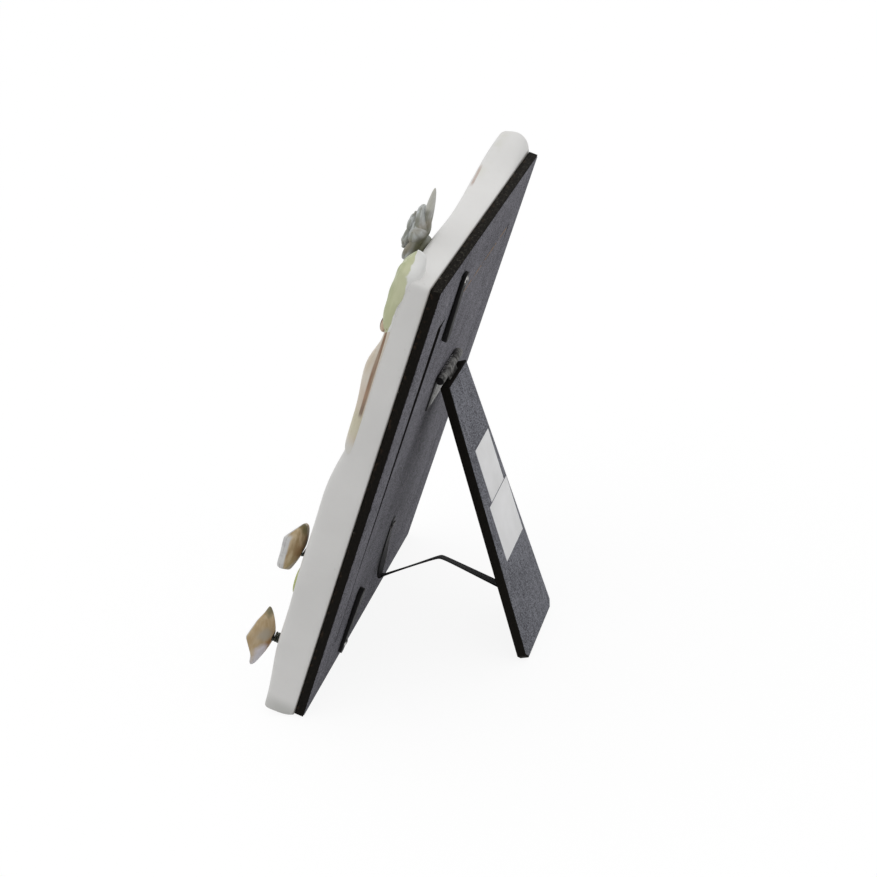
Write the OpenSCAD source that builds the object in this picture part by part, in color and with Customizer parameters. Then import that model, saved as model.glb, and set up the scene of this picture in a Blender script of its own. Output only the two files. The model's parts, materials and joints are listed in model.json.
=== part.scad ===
// Tabletop photo frame with a cast surround, a fibreboard back and a folding easel leg.
// The back board's rear lower edge is the origin; the frame leans back over it.
// Local directions of the leaning frame: x across, y out of the back, z up the board.

/* [Print and glazing] */
// Width of the print that the frame holds
print_w = 102; // [80:1:130]
// Height of the print that the frame holds
print_h = 152; // [120:1:180]
// Thickness of the print
print_t = 0.3; // [0.2:0.1:0.6]
// Thickness of the glass
glass_t = 2; // [1.5:0.1:3]
// Thickness of the backing card behind the print
card_t = 1.5; // [1:0.1:2.5]
// Free play round the print, glass and card in their rebate
rebate_play = 0.5; // [0.3:0.1:1]
// How far the front lip covers the print on each side
lip_cover = 4; // [3:0.5:7]

/* [Back board and door] */
// How far the door laps past the print on each side
door_lap = 4; // [2.5:0.5:8]
// Width of the board beside the door
board_side = 22; // [16:0.5:30]
// Height of the board above and below the door
board_end = 26; // [22:0.5:34]
// Thickness of the board, the door and their edges
board_t = 3.8; // [3:0.1:6]
// Thickness of the flocked facing paper
paper_t = 0.3; // [0.2:0.05:0.5]
// Bare black margin left round the facing paper
paper_inset = 0.5; // [0.3:0.1:1.5]
// Gap round the door
door_gap = 0.4; // [0.2:0.1:0.8]

/* [Casting] */
// How far the casting stands out past the board all round
casting_over = 1; // [0.5:0.1:1.2]
// Thickness of the casting in its upper half
casting_upper_t = 11.2; // [9.5:0.1:15]
// Thickness of the casting in its swollen lower half
casting_lower_t = 16.2; // [13:0.1:20]
// How much thinner the casting is at its foot
foot_taper = 4.4; // [0:0.1:5]
// Length over which the casting thins towards its foot
foot_taper_len = 40; // [20:1:50]
// How much thinner the casting is at its head
head_taper = 1.6; // [0:0.1:2]
// Length over which the casting thins towards its head
head_taper_len = 27.5; // [15:0.5:35]
// Distance from the casting's top down to the start of its swelling
swell_drop = 67.5; // [60:0.5:75]
// Length over which the casting swells to its full thickness
swell_len = 42; // [25:1:50]
// Corner radius of the casting
casting_r = 3; // [2:0.5:10]
// Rounding of the casting's front lower edge
foot_r = 2.5; // [1:0.1:4]

/* [Stance] */
// How far the frame leans back from upright, in degrees
lean = 22; // [15:1:28]
// Angle between the board and the open leg, in degrees
leg_open = 34; // [30:1:40]

/* [Easel leg] */
// Distance of the hinge axis below the door's top edge
hinge_drop = 44.5; // [38:0.5:56]
// Width of the leg at its top
leg_top_w = 27; // [20:0.5:36]
// Width of the leg at its foot
leg_foot_w = 46.5; // [36:0.5:64]
// Thickness of the leg
leg_t = 3.9; // [3.5:0.1:5]
// Corner cut at the foot of the leg
leg_corner = 2.5; // [1:0.1:6]
// Gap from the hinge axis down to the leg's top end
leg_drop = 3.8; // [3:0.1:6]
// How far the leg's inner face lies inside the hinge axis
leg_sink = 1.4; // [1:0.1:1.4]

/* [Hinge] */
// Length of the hinge barrel
hinge_w = 29; // [24:0.5:38]
// Outer diameter of the hinge barrel
barrel_d = 3.8; // [3.4:0.1:4.6]
// Diameter of the hinge pin
pin_d = 2; // [1.6:0.1:2.4]
// Thickness of the hinge leaves
leaf_t = 0.7; // [0.5:0.1:0.8]
// Height of the leaf on the door, below the axis
door_leaf_h = 16; // [12:0.5:22]
// Distance of the rivets below the axis, in the leaf on the door
door_rivet_drop = 11; // [6:0.5:11]
// Depth of the leaf in the leg's saw cut
leg_leaf_h = 14; // [10:0.5:20]
// Length of the middle knuckle, which belongs to the leg
leg_knuckle_w = 11; // [8:0.5:16]
// Diameter of the hinge rivets
hinge_rivet_d = 2; // [1.4:0.1:3]
// Distance between the two rivets of a leaf on the door
door_rivet_pitch = 17; // [12:0.5:24]
// Distance between the two rivets of the leaf in the leg
leg_rivet_pitch = 6; // [4:0.5:7]

/* [Turn buttons] */
// Width of a turn button
button_w = 6; // [4:0.1:8]
// Thickness of a turn button
button_t = 1; // [0.6:0.1:1.6]
// Reach of a turn button past its rivet
button_reach = 30.5; // [20:0.5:32]
// Tail of a turn button behind its rivet
button_tail = 6; // [4:0.5:9]
// Distance of the button rivets from the board's middle line
button_x = 35; // [20:0.5:45]
// Distance of the button rivets from the board's end
button_end = 12.5; // [8:0.5:15]
// Diameter of the button rivets
button_rivet_d = 2.4; // [1.8:0.1:3]
// Diameter of the button rivets' heads
button_head_d = 5.2; // [4:0.1:5.5]
// Height of the button rivets' heads
button_head_h = 1.2; // [0.6:0.1:1.6]

/* [Stay ribbon] */
// Width of the ribbon
ribbon_w = 5; // [3:0.5:8]
// Thickness of the ribbon
ribbon_t = 0.5; // [0.3:0.05:0.6]
// Height of the staple above the door's lower edge
door_staple_up = 30; // [26:0.5:40]
// Height of the staple on the leg above its foot
leg_staple_up = 17; // [12:0.5:26]
// How far the ribbon hangs below the staple on the door
ribbon_hang = 29; // [20:0.5:34]
// How far out from the door the ribbon's crease stands
crease_out = 26; // [18:0.5:32]
// Height of the crease below the staple on the door
crease_drop = 6; // [2:0.5:12]
// How far the ribbon's ends run on past their staples
ribbon_end = 4; // [2:0.5:6]
// Thickness of the staple wire
staple_wire = 0.6; // [0.4:0.1:0.9]
// Length of the staples' legs in the board
staple_leg = 2.5; // [1.5:0.1:3]

/* [Stickers] */
// Width of the upper sticker
upper_sticker_w = 21; // [12:0.5:24]
// Height of the upper sticker
upper_sticker_h = 25; // [12:0.5:30]
// Width of the lower sticker
lower_sticker_w = 28.5; // [18:0.5:32]
// Height of the lower sticker
lower_sticker_h = 27; // [18:0.5:34]
// Distance of the upper sticker's top from the leg's top end
sticker_top = 33; // [26:0.5:38]
// Space between the two stickers
sticker_space = 0.5; // [0.3:0.1:6]
// Sideways offset of the stickers
sticker_x = -2.5; // [-3:0.5:3]
// Thickness of the stickers
sticker_t = 0.12; // [0.08:0.01:0.3]

/* [Relief ornaments] */
// Space between the corner leaf's foot and the petals below it
leaf_space = 0.3; // [0.1:0.1:4]
// Width of the leaf at the casting's corner
leaf_w = 19; // [12:0.5:24]
// How far the leaf stands out from the casting
leaf_proud = 5; // [3:0.1:7]
// How far the leaf's tip stands above the casting
leaf_rise = 6; // [3:0.5:10]
// Length of the petal relief on the side rail
petal_len = 62; // [50:1:80]
// Width of the petal relief
petal_w = 19; // [12:0.5:21]
// Length of each of the relief's two petals
one_petal_len = 49.6; // [40:0.2:50]
// Width of each of the relief's two petals
one_petal_w = 12.5; // [8:0.5:12.5]
// How far the petal relief stands out
petal_proud = 4.2; // [2.5:0.1:6]
// Distance of the petal relief's middle below the casting's top
petal_drop = 55.5; // [50:0.5:62]
// Diameter of the bud at the petals' upper end
bud_d = 8; // [5:0.5:10]
// Distance of the bud's middle out from the casting
bud_out = 1; // [0.5:0.1:2]
// Length of the small leaf low on the side rail
side_leaf_len = 16; // [10:0.5:24]
// Width of the small leaf low on the side rail
side_leaf_w = 6; // [4:0.5:9]
// How far the small leaf stands out
side_leaf_proud = 1.2; // [0.8:0.1:2]
// Height of the small leaf's middle
side_leaf_z = 63; // [58:0.5:66]

/* [Top blossom] */
// Distance of the blossom's middle in from the casting's side
blossom_in = 38.5; // [34:0.5:52]
// Distance of the blossom's middle below the casting's top
blossom_drop = 0; // [-2:0.5:4]
// Diameter of the blossom
blossom_d = 24; // [18:0.5:28]
// Depth of the blossom's cup
blossom_depth = 5; // [3:0.5:8]
// Thickness of the blossom's petals
blossom_wall = 3; // [2:0.1:4]
// Number of petals round the blossom
blossom_petals = 5; // [4:1:6]
// Depth of the notches between the blossom's petals
blossom_notch = 2.5; // [1:0.5:4]
// How far the pointed upper petal stands out past the others
blossom_point = 7.5; // [4:0.5:12]
// Diameter of the stem behind the blossom
blossom_stem_d = 8; // [6:0.5:10]
// Length of the stem behind the blossom
blossom_stem_h = 4; // [3:0.5:6]

/* [Spring flowers] */
// Distance of the spring flowers in from the casting's side
flower_in = 12.5; // [10:0.5:16]
// Height of the lower flower's seat up the board
lower_flower_z = 25; // [18:0.5:30]
// Height of the upper flower's seat up the board
upper_flower_z = 72; // [66:0.5:80]
// Diameter of the lower flower
lower_flower_d = 27; // [18:0.5:28]
// Diameter of the upper flower
upper_flower_d = 24; // [18:0.5:26]
// Depth of a flower's cup
flower_depth = 7; // [5:0.5:10]
// Wall of a flower's cup
flower_wall = 1.8; // [1.2:0.1:2.6]
// Number of petals round a flower
flower_petals = 4; // [4:1:6]
// Depth of the notches between a flower's petals
flower_notch = 4; // [2:0.5:5]
// Diameter of the boss under a flower
flower_boss_d = 6; // [5.4:0.1:8]
// Height of the boss under a flower
flower_boss_h = 1.2; // [0.8:0.1:2]
// Diameter of the spring wire
spring_wire = 0.8; // [0.6:0.05:0.9]
// Outer diameter of the springs
spring_d = 4.4; // [3.6:0.1:4.6]
// Pitch of the springs' curls
spring_pitch = 1.4; // [1.35:0.05:2]
// Number of curls in the lower spring
lower_curls = 4; // [3:1:6]
// Number of curls in the upper spring
upper_curls = 2; // [2:1:4]
// How far the lower spring bends up, in degrees
lower_lift = 2; // [1:1:8]
// How far the upper spring bends up, in degrees
upper_lift = 10; // [1:1:12]
// Depth of the springs' seats in the casting
seat_depth = 1; // [0.6:0.1:2]
// Free play round a spring in its seat
seat_play = 0.6; // [0.4:0.1:1]

/* [Hidden] */
$fn = 48;

// Clearances of the running and drilled fits
pin_play = 0.05;
rivet_play = 0.02;
button_play = 0.05;
button_lift = 0.2;
ribbon_gap = 0.05;
knuckle_gap = 0.3;
barrel_gap = 0.1;
slot_play = 0.05;
spring_gap = 0.05;
stem_gap = 0.05;

// Collars of the button rivets and heads of the hinge pin
button_collar_d = button_rivet_d + 1.2;
pin_head_d = barrel_d - 0.6;
pin_head_t = 0.6;

// Depth to which ornaments are let into the casting before it is cut away, and overrun of the cuts
bond = 0.4;
past = 1;

// Set-back of the ornaments from the casting's side, and the petals' turn and step
leaf_margin = 2;
petal_margin = 1;
petal_turn = 3;
petal_step = 0.6;

// The corner leaf runs from its tip down to the petals
leaf_len = leaf_rise + petal_drop - petal_len / 2 - leaf_space;

// Shift of each of the two overlapping petals from the middle of the relief
petal_shift_x = (petal_w - one_petal_w) / 2;
petal_shift_z = (petal_len - one_petal_len) / 2;

// Plan sizes that follow from the print
door_w = print_w + 2 * door_lap;
door_h = print_h + 2 * door_lap;
board_w = door_w + 2 * board_side;
board_h = door_h + 2 * board_end;
casting_w = board_w + 2 * casting_over;
casting_top = board_h + casting_over;
board_mid = board_h / 2;
rebate_d = glass_t + print_t + card_t;
sight_w = print_w - 2 * lip_cover;
sight_h = print_h - 2 * lip_cover;
casting_back = -board_t;
rebate_floor = casting_back - rebate_d;

// Places that follow from the casting and the door
hinge_z = board_h - board_end - hinge_drop;
door_staple_z = board_end + door_staple_up;
petal_z = casting_top - petal_drop;
flower_x = casting_w / 2 - flower_in;
blossom_x = casting_w / 2 - blossom_in;

// Hinge axis and the leg's length, which brings its inner foot edge down to the table
axis_y = paper_t + barrel_gap + barrel_d / 2;
leg_tilt = leg_open - lean;
axis_up = hinge_z * cos(lean) - axis_y * sin(lean);
leg_reach = (axis_up - leg_sink * sin(leg_tilt)) / cos(leg_tilt);
leg_in = -leg_sink;
leg_out = leg_in + leg_t;
leg_mid = (leg_in + leg_out) / 2;
bore_d = pin_d + 2 * pin_play;
end_knuckle_w = (hinge_w - leg_knuckle_w) / 2 - knuckle_gap;
leg_staple_s = leg_reach - leg_staple_up;
leg_rivet_s = leg_drop + leg_leaf_h / 2;
door_rivet_z = hinge_z - door_rivet_drop;
button_y = paper_t + button_lift;
button_top_z = board_h - button_end;

// Stations up the board where the casting's thickness changes
swell_high = casting_top - swell_drop;
swell_low = swell_high - swell_len;
head_taper_start = casting_top - head_taper_len;
profile_steps = 52;

// Seats of the springs, cut flat into the casting's front
seat_d = spring_d + 2 * seat_play;
spring_r = (spring_d - spring_wire) / 2;
curl_rings = 8;
wire_sides = 6;

// Sides and rings of the skins of the blossom and the flowers
cup_sides = 40;
cup_rings = 4;

// The ribbon's lie, as [out, up] from the fold's lowest point and from its crease, and as
// [off the leg's inner face, above the staple] where it lands on the leg
fold_out = 3.1;
fold_shape = [[-1, 3], [-0.6, 0.6], [0, 0], [0.9, 0.8], [2.4, 2.5]];
crease_shape = [[-0.8, -0.5], [0.6, 0]];
landing_shape = [[1.4, 4.5], [0.3, 2.6], [0, 1]];
run_shares = [0.35, 0.7];

// Smooth step from 0 at a to 1 at b
function ease(a, b, v) = let(t = min(1, max(0, (v - a) / (b - a)))) t * t * (3 - 2 * t);

// Thickness of the casting at a height up the board
function casting_t(v) = casting_upper_t
    + (casting_lower_t - casting_upper_t) * (1 - ease(swell_low, swell_high, v))
    - foot_taper * (1 - ease(0, foot_taper_len, v))
    - head_taper * ease(head_taper_start, casting_top, v);

function front_y(v) = casting_back - casting_t(v);

// Flat floor of a spring's seat
function seat_y(z) = front_y(z) + seat_depth;

// Turns the leaning frame's directions into the upright ones
module leaned() {
    rotate([-lean, 0, 0]) children();
}

// Directions of the open leg: y out of its outer face, z up the leg, from the hinge axis
module on_leg() {
    leaned() translate([0, axis_y, hinge_z]) rotate([leg_open, 0, 0]) children();
}

// Stands a flat outline in x and z and gives it a thickness from y0 towards the back
module plate(y0, t) {
    translate([0, y0 + t, 0]) rotate([90, 0, 0]) linear_extrude(t) children();
}

// Rectangle centred in x and z
module panel(w, h, z_mid) {
    translate([0, z_mid]) square([w, h], center = true);
}

// Upright rod along y
module rod_y(d, y0, y1) {
    translate([0, y1, 0]) rotate([90, 0, 0]) cylinder(d = d, h = y1 - y0);
}

// Rod along x
module rod_x(d, x0, x1) {
    translate([x0, 0, 0]) rotate([0, 90, 0]) cylinder(d = d, h = x1 - x0);
}

// Pointed leaf outline between two arcs, along z
module lens(len, w) {
    r = (len * len / w + w) / 4;
    intersection() {
        translate([r - w / 2, 0]) circle(r, $fn = 160);
        translate([w / 2 - r, 0]) circle(r, $fn = 160);
    }
}

// Leaf or petal with a crowned front, growing from y = 0 towards -y
module crowned_leaf(len, w, proud) {
    r = (len * len / 4 + proud * proud) / (2 * proud);
    intersection() {
        plate(-proud - past, proud + past) lens(len, w);
        translate([0, r - proud, 0]) rod_x(2 * r, -w, w, $fn = 160);
    }
}

// Side view of the casting, swollen low down and rounded at its foot
module casting_profile() {
    foot_y = front_y(0);
    polygon(concat(
        [[casting_back, -casting_over], [foot_y + foot_r, -casting_over]],
        [for (a = [15:15:90]) [foot_y + foot_r - foot_r * sin(a), foot_r - casting_over - foot_r * cos(a)]],
        [for (i = [0:profile_steps])
            let(v = foot_r + (casting_top - foot_r) * i / profile_steps) [front_y(v), v]],
        [[casting_back, casting_top]]));
}

// The casting's side view as a solid block, also for seating what is bonded to its front
module casting_block() {
    translate([-casting_w, 0, 0]) rotate([90, 0, 90]) linear_extrude(2 * casting_w) casting_profile();
}

module casting_outline() {
    straight = casting_w / 2 - casting_r;
    z0 = casting_r - casting_over;
    z1 = casting_top - casting_r;
    union() {
        panel(casting_w, z1 - z0, board_mid);
        panel(2 * straight, casting_top + casting_over, board_mid);
        for (x = [-straight, straight], z = [z0, z1]) translate([x, z]) circle(casting_r);
    }
}

module frame_casting() {
    deepest = casting_lower_t + rebate_d + past;
    color("whitesmoke") leaned() difference() {
        intersection() {
            plate(casting_back - deepest, deepest) casting_outline();
            casting_block();
        }
        plate(rebate_floor, rebate_d + past)
            panel(print_w + 2 * rebate_play, print_h + 2 * rebate_play, board_mid);
        plate(casting_back - deepest, deepest) panel(sight_w, sight_h, board_mid);
        for (z = [lower_flower_z, upper_flower_z]) translate([flower_x, 0, z])
            rod_y(seat_d, casting_back - deepest, seat_y(z));
    }
}

module glass_pane() {
    color("lightcyan", 0.5) leaned() plate(rebate_floor, glass_t) panel(print_w, print_h, board_mid);
}

module print_insert() {
    color("oldlace") leaned() plate(rebate_floor + glass_t, print_t) panel(print_w, print_h, board_mid);
}

module backing_card() {
    color("tan") leaned() plate(casting_back - card_t, card_t) panel(print_w, print_h, board_mid);
}

// Both button rivets' places, as [x, z]
module at_buttons() {
    for (z = [button_top_z, button_end]) translate([button_x, 0, z]) children();
}

module backing_board() {
    color("black") leaned() difference() {
        plate(-board_t, board_t) difference() {
            panel(board_w, board_h, board_mid);
            panel(door_w + 2 * door_gap, door_h + 2 * door_gap, board_mid);
        }
        at_buttons() rod_y(button_rivet_d + 2 * rivet_play, -board_t - past, past);
    }
}

module board_paper() {
    color("dimgray") leaned() difference() {
        plate(0, paper_t) difference() {
            panel(board_w - 2 * paper_inset, board_h - 2 * paper_inset, board_mid);
            panel(door_w + 2 * door_gap, door_h + 2 * door_gap, board_mid);
        }
        at_buttons() rod_y(button_rivet_d + 2 * rivet_play, -past, past);
    }
}

// Both rivets' places of the leaf on the door
module at_door_rivets() {
    for (x = [-door_rivet_pitch / 2, door_rivet_pitch / 2]) translate([x, 0, door_rivet_z]) children();
}

module door_panel() {
    color("black") leaned() difference() {
        plate(-board_t, board_t) panel(door_w, door_h, board_mid);
        at_door_rivets() rod_y(hinge_rivet_d + 2 * rivet_play, -board_t - past, past);
    }
}

module door_paper() {
    color("dimgray") leaned() difference() {
        plate(0, paper_t) panel(door_w, door_h, board_mid);
        at_door_rivets() rod_y(hinge_rivet_d + 2 * rivet_play, -past, past);
    }
}

// Flat strip with round ends and a rivet hole, reaching up from its rivet
module turn_button() {
    difference() {
        plate(button_y, button_t) {
            translate([-button_w / 2, button_w / 2 - button_tail])
                square([button_w, button_reach + button_tail - button_w]);
            translate([0, button_w / 2 - button_tail]) circle(d = button_w);
            translate([0, button_reach - button_w / 2]) circle(d = button_w);
        }
        rod_y(button_rivet_d + 2 * button_play, 0, button_y + button_t + past);
    }
}

module turn_button_top() {
    color("black") leaned() translate([button_x, 0, button_top_z]) rotate([0, 180, 0]) turn_button();
}

module turn_button_bottom() {
    color("black") leaned() translate([button_x, 0, button_end]) turn_button();
}

module turn_button_rivets() {
    head_y = button_y + button_t + button_play;
    dome_r = (button_head_d * button_head_d / 4 + button_head_h * button_head_h) / (2 * button_head_h);
    color("dimgray") leaned() at_buttons() {
        rod_y(button_rivet_d, -board_t, head_y + button_head_h / 2);
        rod_y(button_collar_d, paper_t, button_y - button_play);
        intersection() {
            rod_y(button_head_d, head_y, head_y + button_head_h + past);
            translate([0, head_y + button_head_h - dome_r, 0]) sphere(dome_r, $fn = 96);
        }
    }
}

module door_hinge_leaf() {
    outer = hinge_w / 2;
    inner = outer - end_knuckle_w;
    color("silver") leaned() difference() {
        union() {
            difference() {
                plate(paper_t, leaf_t) panel(hinge_w, door_leaf_h, hinge_z - door_leaf_h / 2);
                translate([-inner, 0, hinge_z - barrel_d / 2 - knuckle_gap])
                    cube([2 * inner, axis_y, barrel_d]);
            }
            translate([0, axis_y, hinge_z]) {
                rod_x(barrel_d, -outer, -inner);
                rod_x(barrel_d, inner, outer);
            }
        }
        translate([0, axis_y, hinge_z]) rod_x(bore_d, -hinge_w, hinge_w);
        at_door_rivets() rod_y(hinge_rivet_d + 2 * rivet_play, -past, axis_y);
    }
}

module leg_rivet_places() {
    for (x = [-leg_rivet_pitch / 2, leg_rivet_pitch / 2]) translate([x, 0, -leg_rivet_s]) children();
}

module leg_hinge_leaf() {
    leaf_end = leg_drop + leg_leaf_h;
    color("silver") on_leg() difference() {
        union() {
            plate(leg_mid - leaf_t / 2, leaf_t) panel(leg_knuckle_w, leaf_end, -leaf_end / 2);
            rod_x(barrel_d, -leg_knuckle_w / 2, leg_knuckle_w / 2);
        }
        rod_x(bore_d, -hinge_w, hinge_w);
        leg_rivet_places() rod_y(hinge_rivet_d + 2 * rivet_play, leg_in, leg_out);
    }
}

module hinge_pin() {
    end_x = hinge_w / 2 + pin_head_t;
    color("black") leaned() translate([0, axis_y, hinge_z]) {
        rod_x(pin_d, -end_x, end_x);
        rod_x(pin_head_d, hinge_w / 2 + pin_play, end_x);
        rod_x(pin_head_d, -end_x, -hinge_w / 2 - pin_play);
    }
}

module door_hinge_rivets() {
    color("dimgray") leaned() at_door_rivets() rod_y(hinge_rivet_d, -board_t, paper_t + leaf_t);
}

module leg_hinge_rivets() {
    color("dimgray") on_leg() leg_rivet_places() rod_y(hinge_rivet_d, leg_in, leg_out);
}

// Tapered leg with its two foot corners cut off
module leg_outline(inset) {
    top = -leg_drop - inset;
    foot = -leg_reach + inset;
    half_top = leg_top_w / 2 - inset;
    half_foot = leg_foot_w / 2 - inset;
    polygon([[-half_top, top], [half_top, top],
             [half_foot, foot + leg_corner], [half_foot - leg_corner, foot],
             [leg_corner - half_foot, foot], [-half_foot, foot + leg_corner]]);
}

module easel_leg() {
    color("black") on_leg() difference() {
        plate(leg_in, leg_t) leg_outline(0);
        plate(leg_mid - leaf_t / 2 - slot_play, leaf_t + 2 * slot_play)
            panel(leg_knuckle_w + 2 * slot_play, 2 * (leg_leaf_h + slot_play), -leg_drop);
        leg_rivet_places() rod_y(hinge_rivet_d + 2 * rivet_play, leg_in - past, leg_out + past);
    }
}

module leg_paper() {
    color("gray") on_leg() plate(leg_out, paper_t) leg_outline(paper_inset);
}

// Place of a point of the open leg, as [out of the back, up the board]
function leg_place(y, z) = [axis_y + y * cos(leg_open) - z * sin(leg_open),
                            hinge_z + y * sin(leg_open) + z * cos(leg_open)];

// Points between two others, at the given shares of the way
function between(a, b, shares) = [for (t = shares) a + (b - a) * t];

// The ribbon's middle line: down the door, round the fold, out to its crease and on to the leg
function ribbon_path() =
    let(lie_y = paper_t + ribbon_gap + ribbon_t / 2,
        tab_y = leg_in - ribbon_gap - ribbon_t / 2,
        start = [lie_y, door_staple_z - ribbon_end],
        fold = [for (p = fold_shape) [fold_out, door_staple_z - ribbon_hang] + p],
        crease = [for (p = crease_shape) [crease_out, door_staple_z - crease_drop] + p],
        landing = [for (p = landing_shape) leg_place(tab_y - p[0], p[1] - leg_staple_s)])
    concat([[lie_y, door_staple_z + ribbon_end], start],
           between(start, fold[0], run_shares), fold,
           between(fold[len(fold) - 1], crease[0], run_shares), crease,
           between(crease[1], landing[0], run_shares), landing,
           [leg_place(tab_y, -ribbon_end - leg_staple_s)]);

// Flat tape along the ribbon's middle line
module stay_ribbon() {
    path = ribbon_path();
    last = len(path) - 1;
    along = [for (i = [0:last]) path[min(i + 1, last)] - path[max(i - 1, 0)]];
    side = [for (a = along) [-a[1], a[0]] / norm(a) * ribbon_t / 2];
    color("black") leaned() translate([-ribbon_w / 2, 0, 0]) rotate([90, 0, 90]) linear_extrude(ribbon_w)
        polygon(concat([for (i = [0:last]) path[i] + side[i]],
                       [for (i = [last:-1:0]) path[i] - side[i]]));
}

// Wire staple across the ribbon, its legs driven towards -y
module staple(face_y) {
    span = ribbon_w + 2 * staple_wire;
    crown_y = face_y + ribbon_t + 2 * ribbon_gap;
    translate([-span / 2, crown_y, -staple_wire / 2]) cube([span, staple_wire, staple_wire]);
    for (x = [-span / 2, span / 2 - staple_wire])
        translate([x, face_y - staple_leg, -staple_wire / 2])
            cube([staple_wire, crown_y + staple_wire - face_y + staple_leg, staple_wire]);
}

module door_staple() {
    color("silver") leaned() translate([0, 0, door_staple_z]) staple(paper_t);
}

module leg_staple() {
    color("silver") on_leg() translate([0, 0, -leg_staple_s]) rotate([0, 0, 180]) staple(-leg_in);
}

module sticker(w, h, top) {
    on_leg() plate(leg_out + paper_t, sticker_t)
        translate([sticker_x, 0]) panel(w, h, -leg_drop - top - h / 2);
}

module upper_sticker() {
    color("white") sticker(upper_sticker_w, upper_sticker_h, sticker_top);
}

module lower_sticker() {
    color("white") sticker(lower_sticker_w, lower_sticker_h, sticker_top + upper_sticker_h + sticker_space);
}

// Two overlapping petals and a bud on the side rail
module petal_relief() {
    petal_x = casting_w / 2 - petal_w / 2 - petal_margin;
    petal_y = front_y(petal_z) + bond;
    bud_z = petal_z + petal_len / 2 - bud_d / 2;
    color("antiquewhite") leaned() difference() {
        union() {
            for (way = [-1, 1])
                translate([petal_x + way * petal_shift_x, petal_y, petal_z + way * petal_shift_z])
                    rotate([0, way * petal_turn, 0])
                        crowned_leaf(one_petal_len, one_petal_w, petal_proud + bond + way * petal_step);
            translate([petal_x, front_y(bud_z) - bud_out, bud_z]) sphere(d = bud_d);
        }
        casting_block();
    }
}

// Leaf that wraps the casting's corner, its tip above the top edge and its foot at the petals
module corner_leaf() {
    leaf_x = casting_w / 2 - leaf_w / 2 - leaf_margin;
    leaf_z = casting_top + leaf_rise - leaf_len / 2;
    color("darkseagreen") leaned() difference() {
        translate([leaf_x, front_y(casting_top) + bond, leaf_z])
            crowned_leaf(leaf_len, leaf_w, leaf_proud + bond);
        casting_block();
    }
}

module side_leaf() {
    color("yellowgreen") leaned() difference() {
        translate([casting_w / 2 - side_leaf_w, front_y(side_leaf_z) + bond, side_leaf_z])
            crowned_leaf(side_leaf_len, side_leaf_w, side_leaf_proud + bond);
        casting_block();
    }
}

// Reach of a flower's rim at an angle from its first petal: petals with points, or round ones with one point
function pointed_rim(a, d, petals, notch) = d / 2 - notch * abs(sin(petals * a / 2));
function round_rim(a, d, petals, notch, point) =
    d / 2 - notch * (1 - abs(cos(petals * a / 2))) + point * pow(max(0, 1 - petals * a / 180), 2);

// Cup with the given rim on a round boss, as one closed skin: boss, outer rings, inner rings
module rimmed_cup(rim, d, depth, wall, boss_d, boss_h) {
    shares = [for (j = [0:cup_rings]) j / cup_rings];
    rings = concat(
        [[for (r = rim) [boss_d / 2, 0]]],
        [for (t = shares) [for (r = rim) cup_point(boss_d / 2 + (r - boss_d / 2) * t, d, depth, boss_h)]],
        [for (t = shares) [for (r = rim)
            cup_point(boss_d / 2 + (r - boss_d / 2) * (1 - t), d, depth, boss_h + wall)]]);
    points = concat(
        [for (ring = rings, k = [0:cup_sides - 1])
            let(a = k * 360 / cup_sides) [-ring[k][0] * sin(a), ring[k][0] * cos(a), ring[k][1]]],
        [[0, 0, 0], [0, 0, boss_h + wall]]);
    last = (len(rings) - 1) * cup_sides;
    foot = len(points) - 2;
    walls = [for (i = [0:len(rings) - 2], k = [0:cup_sides - 1])
        let(a = i * cup_sides + k, b = i * cup_sides + (k + 1) % cup_sides)
        each [[a, a + cup_sides, b + cup_sides], [a, b + cup_sides, b]]];
    caps = [for (k = [0:cup_sides - 1])
        let(next = (k + 1) % cup_sides) each [[foot, k, next], [foot + 1, last + next, last + k]]];
    polyhedron(points, concat(walls, caps));
}

// Point of a cup's skin at a reach from its axis, as [reach, height]
function cup_point(reach, d, depth, base) = [reach, base + depth * pow(min(1, 2 * reach / d), 2)];

module top_blossom() {
    blossom_z = casting_top - blossom_drop;
    rim = [for (k = [0:cup_sides - 1]) let(a = k * 360 / cup_sides)
        round_rim(min(a, 360 - a), blossom_d, blossom_petals, blossom_notch, blossom_point)];
    stem_y = front_y(blossom_z - blossom_stem_d / 2) - stem_gap;
    color("darkgray") leaned() translate([blossom_x, stem_y, blossom_z]) rotate([90, 0, 0])
        rimmed_cup(rim, blossom_d, blossom_depth, blossom_wall, blossom_stem_d, blossom_stem_h);
}

// Frame of a spring's middle line: it bends evenly upwards by the lift over its length
function coil_len(curls) = curls * spring_pitch + 2 * spring_wire;
function bend_at(s, curls, lift) = lift * s / coil_len(curls);
function axis_at(s, curls, lift) =
    let(r = coil_len(curls) / (lift * PI / 180), a = bend_at(s, curls, lift))
    [0, -r * sin(a), r * (1 - cos(a))];

// Stations of the wire, as [distance along the spring, angle round it]: straight foot, curls, straight head
function wire_stations(curls) = concat(
    [[spring_gap, 0]],
    [for (i = [0:curls * curl_rings]) [spring_wire + i * spring_pitch / curl_rings, i * 360 / curl_rings]],
    [[coil_len(curls) - spring_gap, 0]]);

// Direction out of the spring's middle line at an angle round it, where the spring has bent by b
function curl_out(a, b) = [cos(a), sin(a) * sin(b), sin(a) * cos(b)];

function unit(v) = v / norm(v);

// Least gap of a spring's wire to itself, between points at least half a curl apart
function self_gap(path) = min([for (i = [1:len(path) - 2], j = [i + curl_rings / 2:1:len(path) - 2])
    norm(path[i] - path[j])]) - spring_wire;

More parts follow.
